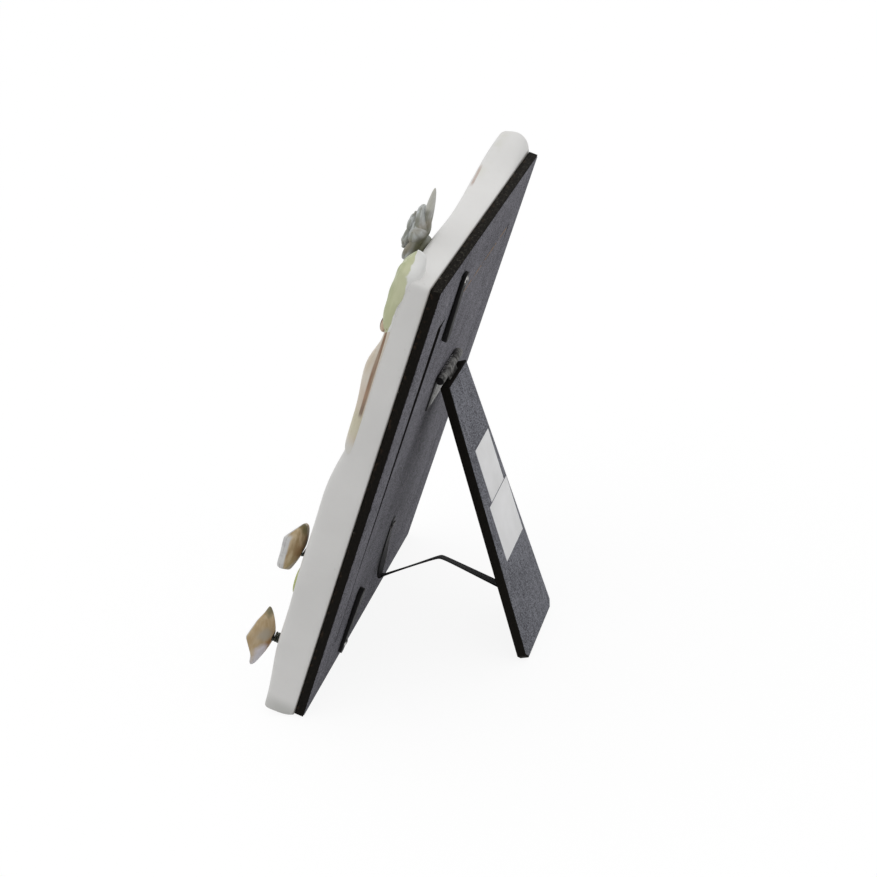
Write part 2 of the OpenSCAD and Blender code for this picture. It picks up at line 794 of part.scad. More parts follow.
// Round wire swept along a path, closed at both ends, its rings turned to the given outward directions
module swept_wire(path, outward) {
    last = len(path) - 1;
    ahead = [for (i = [0:last])
        i == 0 ? unit(path[1] - path[0])
        : i == last ? unit(path[last] - path[last - 1])
        : unit(unit(path[i + 1] - path[i]) + unit(path[i] - path[i - 1]))];
    rings = [for (i = [0:last])
        let(side = unit(cross(ahead[i], outward[i])), out = cross(side, ahead[i]))
        [for (k = [0:wire_sides - 1])
            let(a = k * 360 / wire_sides) path[i] + spring_wire / 2 * (side * cos(a) - out * sin(a))]];
    points = [for (ring = rings) each ring];
    walls = [for (i = [0:last - 1], k = [0:wire_sides - 1])
        let(a = i * wire_sides + k, b = i * wire_sides + (k + 1) % wire_sides)
        each [[a, b, b + wire_sides], [a, b + wire_sides, a + wire_sides]]];
    caps = [for (k = [1:wire_sides - 2])
        each [[0, k + 1, k], [last * wire_sides, last * wire_sides + k, last * wire_sides + k + 1]]];
    polyhedron(points, concat(walls, caps));
}

module seated_spring(z, curls, lift) {
    stations = wire_stations(curls);
    outward = [for (p = stations) curl_out(p[1], bend_at(p[0], curls, lift))];
    path = [for (i = [0:len(stations) - 1]) axis_at(stations[i][0], curls, lift) + spring_r * outward[i]];
    echo(str("least gap between the curls: ", self_gap(path), " mm"));
    color("dimgray") leaned() translate([flower_x, seat_y(z), z]) swept_wire(path, outward);
}

module upper_spring() {
    seated_spring(upper_flower_z, upper_curls, upper_lift);
}

module lower_spring() {
    seated_spring(lower_flower_z, lower_curls, lower_lift);
}

// Cup of pointed petals on a boss, its face towards -y and its boss at the origin
module flower(d) {
    rim = [for (k = [0:cup_sides - 1]) pointed_rim(k * 360 / cup_sides, d, flower_petals, flower_notch)];
    rotate([90, 0, 0]) rimmed_cup(rim, d, flower_depth, flower_wall, flower_boss_d, flower_boss_h);
}

module seated_flower(z, curls, lift, d) {
    color("burlywood") leaned() translate([flower_x, seat_y(z), z] + axis_at(coil_len(curls), curls, lift))
        rotate([-lift, 0, 0]) flower(d);
}

module upper_flower() {
    seated_flower(upper_flower_z, upper_curls, upper_lift, upper_flower_d);
}

module lower_flower() {
    seated_flower(lower_flower_z, lower_curls, lower_lift, lower_flower_d);
}

frame_casting();
corner_leaf();
petal_relief();
side_leaf();
top_blossom();
glass_pane();
print_insert();
backing_card();
backing_board();
board_paper();
door_panel();
door_paper();
turn_button_top();
turn_button_bottom();
turn_button_rivets();
door_hinge_leaf();
leg_hinge_leaf();
hinge_pin();
door_hinge_rivets();
leg_hinge_rivets();
easel_leg();
leg_paper();
stay_ribbon();
door_staple();
leg_staple();
upper_sticker();
lower_sticker();
upper_spring();
lower_spring();
upper_flower();
lower_flower();
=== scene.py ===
# Tabletop photo frame, seen from behind: a glazed casting with painted flowers, a fibreboard back
# and a folding easel leg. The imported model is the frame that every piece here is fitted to.
import json
from math import atan2, copysign, cos, degrees, exp, hypot, pi, radians, sin, sqrt

import bmesh
import bpy
from mathutils import Matrix, Quaternion, Vector


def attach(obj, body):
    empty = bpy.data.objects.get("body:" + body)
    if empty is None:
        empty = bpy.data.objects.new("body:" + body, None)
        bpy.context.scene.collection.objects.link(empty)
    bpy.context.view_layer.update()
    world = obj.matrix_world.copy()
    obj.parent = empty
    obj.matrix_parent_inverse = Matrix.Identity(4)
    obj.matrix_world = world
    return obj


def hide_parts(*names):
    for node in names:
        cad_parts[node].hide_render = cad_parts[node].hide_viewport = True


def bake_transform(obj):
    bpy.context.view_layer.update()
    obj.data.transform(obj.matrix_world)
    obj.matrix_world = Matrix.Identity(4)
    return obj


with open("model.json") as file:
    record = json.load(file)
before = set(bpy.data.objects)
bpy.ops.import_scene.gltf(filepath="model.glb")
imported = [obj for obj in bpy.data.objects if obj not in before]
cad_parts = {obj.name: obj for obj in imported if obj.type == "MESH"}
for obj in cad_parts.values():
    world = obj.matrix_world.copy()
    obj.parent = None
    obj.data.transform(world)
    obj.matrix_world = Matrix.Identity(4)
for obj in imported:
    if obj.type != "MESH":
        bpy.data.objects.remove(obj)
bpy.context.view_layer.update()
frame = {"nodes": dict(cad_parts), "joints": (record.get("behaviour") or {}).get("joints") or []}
scene = bpy.context.scene
scene.view_settings.view_transform = "Standard"

# Camera: it stands behind the frame on its ornamented side, a little above it,
# and is rolled by a few degrees, as in the photograph.
camera_azimuth = radians(108.618)
camera_height = radians(26.899)
camera_roll = radians(-5.785)
towards_camera = Vector((sin(camera_azimuth) * cos(camera_height),
                         -cos(camera_azimuth) * cos(camera_height),
                         sin(camera_height)))
camera = bpy.data.objects.new("camera", bpy.data.cameras.new("camera"))
camera.data.lens = 74.808
camera.location = (0.66017, 0.26949, 0.44916)
camera.rotation_mode = "QUATERNION"
camera.rotation_quaternion = ((-towards_camera).to_track_quat("-Z", "Y")
                              @ Quaternion((0, 0, 1), camera_roll))
scene.collection.objects.link(camera)
scene.camera = camera

# Stay ribbon: a flat black woven tape, stapled to the door and to the inside of the leg.
# It stops the leg from sliding open, hangs in a fold by the door and keeps a crease and a
# half twist from being folded away.
mm = 0.001
out_of_back = Vector(next(joint["axis"] for joint in frame["joints"]
                          if joint["name"] == "top_button_turn"))
lean = atan2(-out_of_back.z, out_of_back.y)
leaned = Matrix.Rotation(-lean, 4, "X")


class Shade:
    """One socket of a node tree, so that shader maths reads as plain expressions."""

    def __init__(self, tree, socket=None):
        self.tree = tree
        self.socket = socket

    def join(self, target, value):
        """Links a value to an input socket, or sets a plain number or colour there."""
        if isinstance(value, Shade):
            self.tree.links.new(value.socket, target)
        else:
            target.default_value = value

    def node(self, kind, settings=None, sockets=None, output=0):
        """Any node: its type, then its settings, then the values or links of its sockets."""
        made = self.tree.nodes.new("ShaderNode" + kind)
        for name, value in (settings or {}).items():
            setattr(made, name, value)
        for name, value in (sockets or {}).items():
            self.join(made.inputs[name], value)
        return Shade(self.tree, made.outputs[output])

    def math(self, operation, first, second=0.0):
        return self.node("Math", {"operation": operation}, {0: first, 1: second})

    def __add__(self, other):
        return self.math("ADD", self, other)

    __radd__ = __add__

    def __sub__(self, other):
        return self.math("SUBTRACT", self, other)

    def __rsub__(self, other):
        return self.math("SUBTRACT", other, self)

    def __mul__(self, other):
        return self.math("MULTIPLY", self, other)

    __rmul__ = __mul__

    def __pow__(self, other):
        return self.math("POWER", self, other)

    def __abs__(self):
        return self.math("ABSOLUTE", self)

    def sine(self):
        return self.math("SINE", self)

    def rise(self, low, high):
        """A smooth step of this value, from 0 at low to 1 at high."""
        return self.node("MapRange", {"interpolation_type": "SMOOTHSTEP"},
                         {"Value": self, "From Min": low, "From Max": high})

    def fall(self, low, high):
        """A smooth step of this value, from 1 at low to 0 at high."""
        return 1 - self.rise(low, high)

    def mix(self, first, second):
        """The first colour where this mask is 0, the second where it is 1."""
        return self.node("Mix", {"data_type": "RGBA"}, {0: self, 6: first, 7: second}, 2)

    def split(self):
        """The three numbers of a vector."""
        parts = self.node("SeparateXYZ", {}, {0: self}).socket.node.outputs
        return [Shade(self.tree, part) for part in parts]

    def mapped(self, **sockets):
        """This vector moved, turned or scaled by a Mapping node."""
        return self.node("Mapping", {}, {"Vector": self, **sockets})

    def noise(self, scale, detail=2.0, rough=0.5):
        """Noise on this vector, with scale in cycles per metre."""
        return self.node("TexNoise", {}, {"Vector": self, "Scale": scale, "Detail": detail,
                                          "Roughness": rough})

    def surface(self, height=None, depth=0.0, **sockets):
        """Feeds the shader: a bump of a height up to depth in metres, and sockets by their names."""
        shader = self.tree.nodes["Principled BSDF"]
        if height is not None:
            self.join(shader.inputs["Normal"],
                      self.node("Bump", {}, {"Height": height, "Distance": depth}))
        for name, value in sockets.items():
            self.join(shader.inputs[name.replace("_", " ")], value)


finishes = {}


def new_finish(name, turn=lean):
    """Makes the material of a finish. Returns the shade that its nodes are added through, and object
    coordinates along the leaning board or along another piece turned about X."""
    finishes[name] = bpy.data.materials.new(name)
    finishes[name].use_nodes = True
    shade = Shade(finishes[name].node_tree)
    return shade, shade.node("TexCoord", {}, {}, "Object").mapped(Rotation=(turn, 0, 0))


def tint(red, green, blue):
    """A colour as it would be picked from a picture, 0 to 255, in the renderer's own values."""
    shares = [value / 255 for value in (red, green, blue)]
    return tuple(share / 12.92 if share < 0.04045 else ((share + 0.055) / 1.055) ** 2.4
                 for share in shares) + (1,)


sharp_angle = radians(40)


def refine(piece, levels):
    """Subdivides a piece's mesh smoothly."""
    finer = piece.modifiers.new("finer", "SUBSURF")
    finer.levels = levels
    finer.render_levels = levels


def new_piece(name, bm, finish, node, body=None, subdivisions=0, slot=None):
    """Makes the object of a finished mesh, which stands for a CAD node and rides on a body. Its slot
    argument is not used."""
    mesh = bpy.data.meshes.new(name)
    bm.to_mesh(mesh)
    bm.free()
    mesh.materials.clear()
    mesh.materials.append(finishes[finish])
    mesh.shade_smooth()
    if not subdivisions:
        mesh.set_sharp_from_angle(angle=sharp_angle)
    piece = bpy.data.objects.new(name, mesh)
    scene.collection.objects.link(piece)
    if subdivisions:
        refine(piece, subdivisions)
    if body:
        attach(piece, body)
    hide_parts(node)
    slot or finish
    return piece


ribbon_w = 5 * mm
ribbon_t = 0.5 * mm
# The middle line: millimetres out of the back and up the board, and the turn of the tape in degrees
ribbon_route = [(0.6, 60, 0), (0.6, 52, 0), (1.1, 44.3, 8), (1.7, 36.6, 20), (2.1, 30, 20),
                (2.5, 27.6, 12), (3.1, 27, 0), (4, 27.8, -10), (5.5, 29.5, -15), (12.4, 36.5, -19),
                (19.3, 43.5, -17), (25.2, 49.5, -11), (26.6, 50, -16), (39, 49.1, -9), (51.4, 48.2, -2),
                (62, 47.4, 3), (64, 46.4, 2), (65.2, 45.2, 0), (68, 41.1, 0)]
ribbon_path = [Vector((0, out * mm, up * mm)) for out, up, _ in ribbon_route]
ribbon_last = len(ribbon_path) - 1
ribbon_columns = 6


def ribbon_row(row, across):
    """A point of the tape's middle sheet, across from its middle line."""
    ahead = ribbon_path[min(row + 1, ribbon_last)] - ribbon_path[max(row - 1, 0)]
    turned = Matrix.Rotation(radians(ribbon_route[row][2]), 4, ahead)
    return ribbon_path[row] + turned @ Vector((across, 0, 0))


ribbon = bmesh.new()
weave = ribbon.loops.layers.uv.new("weave")
bmesh.ops.create_grid(ribbon, x_segments=ribbon_columns, y_segments=ribbon_last, size=0.5)
for face in ribbon.faces:
    for loop in face.loops:
        row = round((loop.vert.co.y + 0.5) * ribbon_last)
        along = sum((there - here).length for here, there in zip(ribbon_path[:row], ribbon_path[1:]))
        loop[weave].uv = (loop.vert.co.x * ribbon_w, along)
for vert in ribbon.verts:
    vert.co = leaned @ ribbon_row(round((vert.co.y + 0.5) * ribbon_last), vert.co.x * ribbon_w)

shade, board = new_finish("ribbon_black")
across, along, _ = shade.node("UVMap", {"uv_map": "weave"}).split()
rib_pitch = 0.45 * mm
ribs = 0.5 + 0.5 * (along * (2 * pi / rib_pitch)).sine()
selvedge = abs(across).rise(0.3 * ribbon_w, 0.37 * ribbon_w)
lint = board.noise(900, 3)
satin = (0.75 * ribs + 0.5 * lint).mix(tint(18, 18, 19), tint(54, 53, 56))
shade.surface(ribs * (1 - 0.6 * selvedge) + 0.4 * lint, 0.08 * mm,
              Base_Color=selvedge.mix(satin, tint(7, 7, 7)), Roughness=0.5 + 0.25 * lint,
              Specular_IOR_Level=0.15)
stay_ribbon = new_piece("stay_tape", ribbon, "ribbon_black", "stay_ribbon")
tape = stay_ribbon.modifiers.new("tape", "SOLIDIFY")
tape.thickness = ribbon_t
tape.offset = 0
refine(stay_ribbon, 2)
tape_line = [leaned @ point for point in ribbon_path]
past_fold = 8
by_leg = -3
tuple(tape_line[past_fold])
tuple(tape_line[by_leg])
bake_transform(stay_ribbon)
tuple(tape_line[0])

# Casting: the white surround, cast in resin and glazed, swollen in its lower half and soft at every
# edge. Its back is rebated for the glass and glued to the board, and faint washes of paint spill
# over its front edge.


def board_box(node):
    """Lowest and highest corners of a CAD node along the leaning board."""
    places = [leaned.inverted() @ vert.co for vert in frame["nodes"][node].data.vertices]
    return [Vector([pick(place[i] for place in places) for i in range(3)]) for pick in (min, max)]


def ease(low, high, value):
    """A smooth step of a number, from 0 at low to 1 at high."""
    share = min(1, max(0, (value - low) / (high - low)))
    return share * share * (3 - 2 * share)


def casting_depth(x, z):
    """How far the casting stands in front of the back, at a place on the board, in millimetres."""
    head = 0.3 + 0.8 * ease(60, -10, x) + 3 * ease(-8, -62, x) - 2.2 * ease(45, 78, x)
    shoulder = 1.8 * ease(-40, -76, x) * ease(208, 214, z)
    waves = 0.3 * sin(x / 9 + 0.7) * sin(z / 13 + 1.1) + 0.25 * sin(x / 17 + z / 7.3)
    swell = 5 * (1 - ease(109, 152, z))
    foot = 2.4 * (1 - ease(0, 40, z))
    return 15 + swell - foot + head * ease(185, 213, z) - shoulder + waves


def eased_back(inside, radius):
    """How far a rounded edge falls back at a distance inside it."""
    short = min(radius, max(0, radius - inside))
    return radius - sqrt(radius * radius - short * short)


casting_low, casting_high = board_box("frame_casting")
print_low, print_high = board_box("print_insert")
lip_cover = 4 * mm
rebate_play = 0.5 * mm
corner_r = 2.2 * mm
edge_r = 2.6 * mm
back_r = 2.2 * mm
lip_r = 6 * mm
lip_row = -10 * mm
crown_h = 6.8 * mm
foot_drop = 2.4 * mm
end_zone = 24 * mm
wall_back = casting_high.y
rebate_floor = board_box("glass_pane")[0].y
half_w = casting_high.x
half_h = (casting_high.z - casting_low.z) / 2
mid_h = (casting_high.z + casting_low.z) / 2
sight_w = print_high.x - lip_cover
sight_h = (print_high.z - print_low.z) / 2 - lip_cover
sideways = Vector((1, 0, 0))
upwards = Vector((0, 0, 1))

casting = bmesh.new()
bmesh.ops.create_grid(casting, x_segments=1, y_segments=1, size=1)
for vert in casting.verts:
    vert.co = Vector((vert.co.x * half_w, 0, mid_h + vert.co.y * half_h))


def rail_cuts(half, sight):
    """Lines over half of the front sheet: close at both edges of the rail, wider in the opening."""
    shares = [0.012, 0.03, 0.055, 0.085, 0.14, 0.25, 0.37, 0.5, 0.63, 0.75, 0.85, 0.92, 0.97, 1]
    rail = [half - share * (half - sight) for share in shares]
    return rail + [sight * share for share in (0.85, 0.7, 0.55, 0.4, 0.25, 0.1)]


def cut_across(bm, axis, place):
    """Cuts every face that crosses a plane, at a place along an axis."""
    bmesh.ops.bisect_plane(bm, geom=bm.verts[:] + bm.edges[:] + bm.faces[:], plane_co=axis * place,
                           plane_no=axis)


for axis, middle, cuts in ((sideways, 0, rail_cuts(half_w, sight_w)),
                           (upwards, mid_h, rail_cuts(half_h, sight_h))):
    for cut in cuts + [-cut for cut in cuts]:
        cut_across(casting, axis, middle + cut)
opening = []
for face in casting.faces:
    centre = face.calc_center_median()
    if abs(centre.x) < sight_w and abs(centre.z - mid_h) < sight_h:
        opening.append(face)
bmesh.ops.delete(casting, geom=opening, context="FACES")


def inside_edge(place):
    """How far a place on the board lies inside the casting's outline."""
    return min(half_w - abs(place.x), half_h - abs(place.z - mid_h))


def inside_lip(place):
    """How far a place on the board lies outside the window."""
    return max(abs(place.x) - sight_w, abs(place.z - mid_h) - sight_h)


def extruded(bm, edges, place):
    """Extrudes an open rim, puts each new point by place(vert), and returns the new rim."""
    made = bmesh.ops.extrude_edge_only(bm, edges=edges)["geom"]
    for vert in made:
        if isinstance(vert, bmesh.types.BMVert):
            vert.co = place(vert)
    return [edge for edge in made if isinstance(edge, bmesh.types.BMEdge) and edge.is_boundary]


rims = [edge for edge in casting.edges if edge.is_boundary]
outer_rim = [edge for edge in rims
             if inside_edge((edge.verts[0].co + edge.verts[1].co) / 2) < 0.01 * mm]
inner_rim = [edge for edge in rims if edge not in outer_rim]
for vert in casting.verts:
    front_r = edge_r * (0.7 + 0.3 * ease(casting_low.z, casting_low.z + 15 * mm, vert.co.z))
    fall = eased_back(inside_edge(vert.co), front_r) + 0.6 * eased_back(inside_lip(vert.co), lip_r)
    vert.co.y = -casting_depth(vert.co.x / mm, vert.co.z / mm) * mm + fall
wall_rows = [0.25, 0.5, 0.72, 0.85, 0.93, 0.98, 1]
wall = {}
done = 0
for share in wall_rows:
    step = (share - done) / (1 - done)
    done = share
    outer_rim = extruded(casting, outer_rim, lambda vert: vert.co.lerp(
        Vector((vert.co.x, wall_back, vert.co.z)), step))
    wall.update((vert, share) for edge in outer_rim for vert in edge.verts)
for back in (lip_row, rebate_floor):
    inner_rim = extruded(casting, inner_rim, lambda vert: Vector((vert.co.x, back, vert.co.z)))
rebate_share_w = (print_high.x + rebate_play) / sight_w
rebate_share_h = (sight_h + lip_cover + rebate_play) / sight_h
inner_rim = extruded(casting, inner_rim, lambda vert: Vector((
    vert.co.x * rebate_share_w, vert.co.y, mid_h + (vert.co.z - mid_h) * rebate_share_h)))
inner_rim = extruded(casting, inner_rim, lambda vert: Vector((vert.co.x, wall_back, vert.co.z)))
corner_x = half_w - corner_r
corner_z = half_h - corner_r
for vert in casting.verts:
    past_x = (abs(vert.co.x) - corner_x) / corner_r
    past_z = (abs(vert.co.z - mid_h) - corner_z) / corner_r
    if past_x > 0 and past_z > 0:
        draw_in = corner_r * max(past_x, past_z) / hypot(past_x, past_z)
        vert.co.x = copysign(corner_x + past_x * draw_in, vert.co.x)
        vert.co.z = mid_h + copysign(corner_z + past_z * draw_in, vert.co.z - mid_h)
for vert in wall:
    tuck = 0.6 * eased_back(wall_back - vert.co.y, back_r) * ease(casting_low.z, 20 * mm, vert.co.z)
    vert.co.x *= 1 - tuck / half_w
    vert.co.z -= tuck * ease(casting_high.z - corner_r, casting_high.z, vert.co.z)
for vert in casting.verts:
    share = wall.get(vert, 0)
    crown = crown_h * ease(-30, -78, vert.co.x / mm) * (1 - share * share) * (0.7 + 0.8 * share)
    if vert.co.y < rebate_floor - 0.1 * mm or share:
        vert.co.z += crown * ease(casting_high.z - end_zone, casting_high.z, vert.co.z)
        at_foot = 1 - ease(casting_low.z, casting_low.z + end_zone, vert.co.z)
        vert.co.z -= foot_drop * (1 - share ** 4) * at_foot
bmesh.ops.bridge_loops(casting, edges=outer_rim + inner_rim)
bmesh.ops.recalc_face_normals(casting, faces=casting.faces)
casting.transform(leaned)

shade, board = new_finish("cast_white")
x, y, z = board.split()
cloud = board.noise(22, 3)
peel = board.noise(240, 2)
glaze = cloud.rise(0.3, 0.7).mix(tint(228, 227, 225), tint(237, 236, 234))
# Painted shade and grime along the foot: the lowest 7 mm of the casting turn a darker grey in cloudy
# patches.
foot_shade_and_grime = z.fall(-0.5 * mm, 7 * mm) * cloud.rise(0.3, 0.7)
glaze = (0.55 * foot_shade_and_grime).mix(glaze, tint(168, 170, 164))
stain = y.rise(-6 * mm, -4 * mm) * board.noise(60, 2).rise(0.5, 0.8)
glaze = (0.3 * stain).mix(glaze, tint(222, 214, 190))
edge_wash = y.fall(-18 * mm, -12 * mm) * z.rise(196 * mm, 211 * mm) * x.fall(-20 * mm, 25 * mm)
glaze = (0.3 * edge_wash * board.noise(70, 2).rise(0.42, 0.62)).mix(glaze, tint(196, 196, 158))
stroke = (z.rise(209 * mm, 210 * mm) * abs(y + 14 * mm - 0.0714 * x).fall(0.3 * mm, 0.8 * mm)
          * x.rise(-44 * mm, -38 * mm) * x.fall(-24 * mm, -18 * mm))
glaze = (stroke * (0.2 + peel)).mix(glaze, tint(176, 148, 132))
# Painted shade in the joint: the casting's last 0.6 mm at the back, where it meets the board, is
# darker.
joint_shade = y.rise(-4.6 * mm, -4 * mm)
glaze = (0.75 * joint_shade).mix(glaze, tint(120, 114, 106))
pits = board.noise(700, 2).rise(0.68, 0.8) * board.noise(35, 2).rise(0.5, 0.7)
glaze = (0.35 * pits).mix(glaze, tint(190, 186, 178))
shade.surface(0.7 * cloud + 0.3 * peel - 0.5 * pits, 0.6 * mm, Base_Color=glaze,
              Roughness=0.34 + 0.2 * cloud, Coat_Weight=0.15, Coat_Roughness=0.25)
new_piece("casting", casting, "cast_white", "frame_casting", "frame", subdivisions=2)

# Corner leaf: a painted leaf modelled on the casting's upper near corner. It wraps a little round
# the side, its tip stands above the top edge with a white unpainted back, and its front is veined.
petal_layer = "petal"
near_rim_depth = 14.9


def blade(bm, place, columns=32, rows=24):
    """A closed leaf or petal: a ball whose points are put by place(across, along, face), where
    across runs from -1 to 1, along from 0 at the foot to 1 at the tip, and face is 1 in front."""
    layers = bm.verts.layers.float_vector
    layer = layers.get(petal_layer) or layers.new(petal_layer)
    made = bmesh.ops.create_uvsphere(bm, u_segments=columns, v_segments=rows, radius=1)["verts"]
    for vert in made:
        round_at = hypot(vert.co.x, vert.co.y)
        along = min(1, max(0, (1 + vert.co.z) / 2))
        across = vert.co.x / round_at if round_at > 1e-6 else 0
        face = -vert.co.y / round_at if round_at > 1e-6 else 0
        vert[layer] = (across, along, face)
        vert.co = place(across, along, face)
    return made


def girth(along):
    """Share of a blade's full width, 0 at both of its ends and 1 in the middle."""
    return 2 * sqrt(max(0, along * (1 - along)))


def blade_place(shade):
    """Across, along and face of a blade, as shader values."""
    return shade.node("Attribute", {"attribute_name": petal_layer}, {}, "Vector").split()


def hand_painted(shade, board, brush, colour, grain, roughness):
    """Satin paint with brush marks over a fine grain, in cycles per metre, under a thin coat."""
    shade.surface(0.6 * brush + 0.4 * board.noise(grain, 2), 0.25 * mm, Base_Color=colour,
                  Roughness=roughness + 0.2 * brush, Coat_Weight=0.1, Coat_Roughness=0.3)


def wrapped(across, along, face, up, shift, half, near_rim, front, behind):
    """A point of a relief that wraps the casting's near front edge, with all sizes in millimetres:
    its height up the board, half width, depth of its near rim, and how deep and far back it goes."""
    side = copysign(abs(across) ** 0.7, across)
    x = half_w / mm + 0.2 + shift - half + half * side
    blunt = sqrt(max(0, 1 - (2 * along - 1) ** 12))
    far_rim = casting_depth(half_w / mm - 2 * half, up) + 0.2
    rim = near_rim + (far_rim - near_rim) * (1 - side) / 2 * min(1, half / 3)
    depth = rim + (front - rim) * blunt * max(0, face) ** 0.7 - behind * blunt * max(0, -face)
    return Vector((x, -depth, up)) * mm


def corner_leaf_place(across, along, face):
    """The leaf, with a sunk midrib, side veins and a tip that thickens backwards."""
    up = 189 + 34 * along
    half = 9.5 * sin(pi * along) ** 0.7 * (1 - 0.3 * ease(0.66, 1, along))
    near_rim = near_rim_depth - 1.4 * ease(199, 204, up)
    front = 14.2 + 5 * sin(pi * along ** 0.8) ** 0.45 - 2 * ease(0.75, 1, along)
    veins = 0.2 * sin(22 * (along - 0.25 * abs(across))) - 0.7 * exp(-(across / 0.14) ** 2)
    behind = 2.5 + 2.6 * ease(207, 213, up) * min(1, max(0, 1 - (up - 213) / 10)) ** 0.6
    return wrapped(across, along, face, up, -5 * ease(0.72, 1, along), half, near_rim,
                   front + veins * (1 - across * across) * girth(along), behind)


corner_leaf = bmesh.new()
blade(corner_leaf, corner_leaf_place, columns=56, rows=44)
corner_leaf.transform(leaned)
shade, board = new_finish("leaf_green")
_, _, z = board.split()
across, _, face = blade_place(shade)
brush = board.mapped(Scale=(1, 1, 0.25)).noise(260, 3)
green = brush.rise(0.35, 0.65).mix(tint(176, 184, 138), tint(216, 220, 186))
green = (0.6 * abs(across).rise(0.6, 0.98)).mix(green, tint(214, 215, 178))
midrib = abs(across).fall(0, 0.16) * face.rise(0.2, 0.6) * 0.6
green = midrib.mix(green, tint(132, 142, 92))
low_leaf = z.fall(90 * mm, 110 * mm)
green = low_leaf.mix(green, brush.rise(0.62, 0.68).mix(tint(196, 204, 132), tint(104, 108, 62)))
ragged = face + 0.5 * (board.noise(260, 2) - 0.5) + 0.35 * z.fall(205 * mm, 214 * mm)
white_back = ragged.fall(-0.12, 0.04)
green = white_back.mix(green, tint(245, 245, 243))
hand_painted(shade, board, brush, green, 700, 0.38)
new_piece("corner_leaf_relief", corner_leaf, "leaf_green", "corner_leaf", "frame", subdivisions=1)

# Side leaf: a small painted leaf low on the side rail, part of the same hand-modelled relief.
# It lies flat on the glaze, with a dark midrib.
side_low, side_high = board_box("side_leaf")


def side_leaf_place(across, along, face):
    """The small leaf, a thin skin on the casting's front with a sunk midrib."""
    height = side_low.z + (side_high.z - side_low.z) * along
    x = (side_low.x + side_high.x) / 2 + across * (side_high.x - side_low.x) / 2 * girth(along)
    x += 1.2 * mm * girth(along)
    midrib = 0.3 * exp(-(across / 0.2) ** 2)
    depth = casting_depth(x / mm, height / mm) + (0.2 + (0.8 - midrib) * max(0, face)) * girth(along)
    return Vector((x, -depth * mm + 1.5 * mm * max(0, -face) * girth(along), height))


side_leaf = bmesh.new()
blade(side_leaf, side_leaf_place)
side_leaf.transform(leaned)
new_piece("side_leaf_relief", side_leaf, "leaf_green", "side_leaf", "frame", subdivisions=1)

# Petal relief: two long petals and a bud modelled on the side rail, ivory with brown brushed
# outlines. One petal wraps round the rail's edge, and both merge into the casting at their feet.


def near_petal_place(across, along, face):
    """The petal that wraps the rail's near edge, with a hump two thirds of the way up."""
    up = 133 + 58 * along
    front = 17.6 + 0.025 * (up - 131) + exp(-((up - 168) / 9) ** 2) - 3.2 * ease(171, 188, up)
    half = 8 * sin(pi * along) ** 0.6
    return wrapped(across, along, face, up, 0, half, near_rim_depth, front, 2.5)


def far_petal_place(across, along, face):
    """The petal that lies on the rail's front, dished along its middle."""
    up = 126 + 50 * along
    x = 61 - 1.2 * girth(along) + 6.2 * across * sin(pi * along ** 0.8) ** 0.75
    proud = (0.8 + (2.2 - 0.9 * (1 - across * across)) * max(0, face)) * girth(along) ** 0.7
    return Vector((x, 3 * max(0, -face) * girth(along) - casting_depth(x, up) - proud, up)) * mm


def bud_place(across, along, face):
    """The round bud between the petals and the corner leaf."""
    depth = 16.6 + girth(along) * (1.9 * max(0, face) - 2.2 * max(0, -face))
    return Vector((74 + 2.6 * across * girth(along), -depth, 190.3 + 3.6 * (2 * along - 1))) * mm


petal_relief = bmesh.new()
blade(petal_relief, near_petal_place, 48, 48)
blade(petal_relief, far_petal_place, 40, 40)
blade(petal_relief, bud_place)
petal_relief.transform(leaned)
shade, board = new_finish("petal_ivory")
x, y, z = board.split()
across, along, face = blade_place(shade)
brush = board.mapped(Scale=(1, 1, 0.2)).noise(320, 3)
ivory = brush.rise(0.3, 0.7).mix(tint(220, 206, 186), tint(236, 229, 217))
ivory = (0.5 * along.rise(0.08, 0.2) * along.fall(0.28, 0.4)).mix(ivory, tint(214, 212, 178))
ivory = along.fall(0.04, 0.14).mix(ivory, tint(228, 226, 220))
rim_line = across.rise(0.75, 0.92) * face.rise(-0.36, -0.26) * face.fall(0.05, 0.13)
rim_line = rim_line * along.rise(0.28, 0.34) * (0.65 + 0.35 * brush.rise(0.35, 0.6))
ivory = rim_line.mix(ivory, along.rise(0.35, 0.5).mix(tint(92, 74, 60), tint(150, 118, 92)))
far_line = across.fall(-0.97, -0.86) * (0.3 + 0.7 * brush.rise(0.35, 0.6))
ivory = (0.8 * far_line).mix(ivory, tint(158, 128, 100))
blush = along.rise(0.22, 0.34) * along.fall(0.46, 0.6) * brush.rise(0.4, 0.6)
ivory = (0.35 * blush).mix(ivory, tint(212, 178, 152))
on_bud = z.rise(186.2 * mm, 186.8 * mm) * y.fall(-15.4 * mm, -15 * mm) * x.fall(77 * mm, 77.2 * mm)
bud_rim = shade.math("MAXIMUM", face.rise(0.55, 0.8), along.rise(0.8, 0.9))
ivory = on_bud.mix(ivory, bud_rim.mix(tint(216, 192, 166), tint(96, 66, 46)))
hand_painted(shade, board, brush, ivory, 600, 0.36)
new_piece("petals_and_bud", petal_relief, "petal_ivory", "petal_relief", "frame", subdivisions=1)

# Top blossom: a sage-grey flower of thick round petals on the top rail, with one pointed petal
# standing above it. It is modelled by hand and fixed to the casting by a short calyx, which is
# painted dark olive as the shade under the petals.
blossom_low, blossom_high = board_box("top_blossom")
blossom_foot = Vector(((blossom_low.x + blossom_high.x) / 2, blossom_high.y, casting_high.z))


def round_petal(turn, reach, half, start, forward, wall):
    """A thick round petal of a flower that faces -y, growing from the flower's middle at an angle."""
    spun = Matrix.Rotation(radians(turn), 4, "Y")

    def place(across, along, face):
        width = half * girth(along) ** 0.8 * (1 + 0.04 * sin(11 * along + turn) * along)
        cup = start + forward * along ** 1.5 + 1.2 * (across * girth(along)) ** 2
        folds = 0.2 * sin(5 * across + turn) * along * girth(along)
        depth = cup + folds + wall * face * girth(along) ** 0.6
        return spun @ Vector((across * width, -depth, reach * along)) * mm
    return place


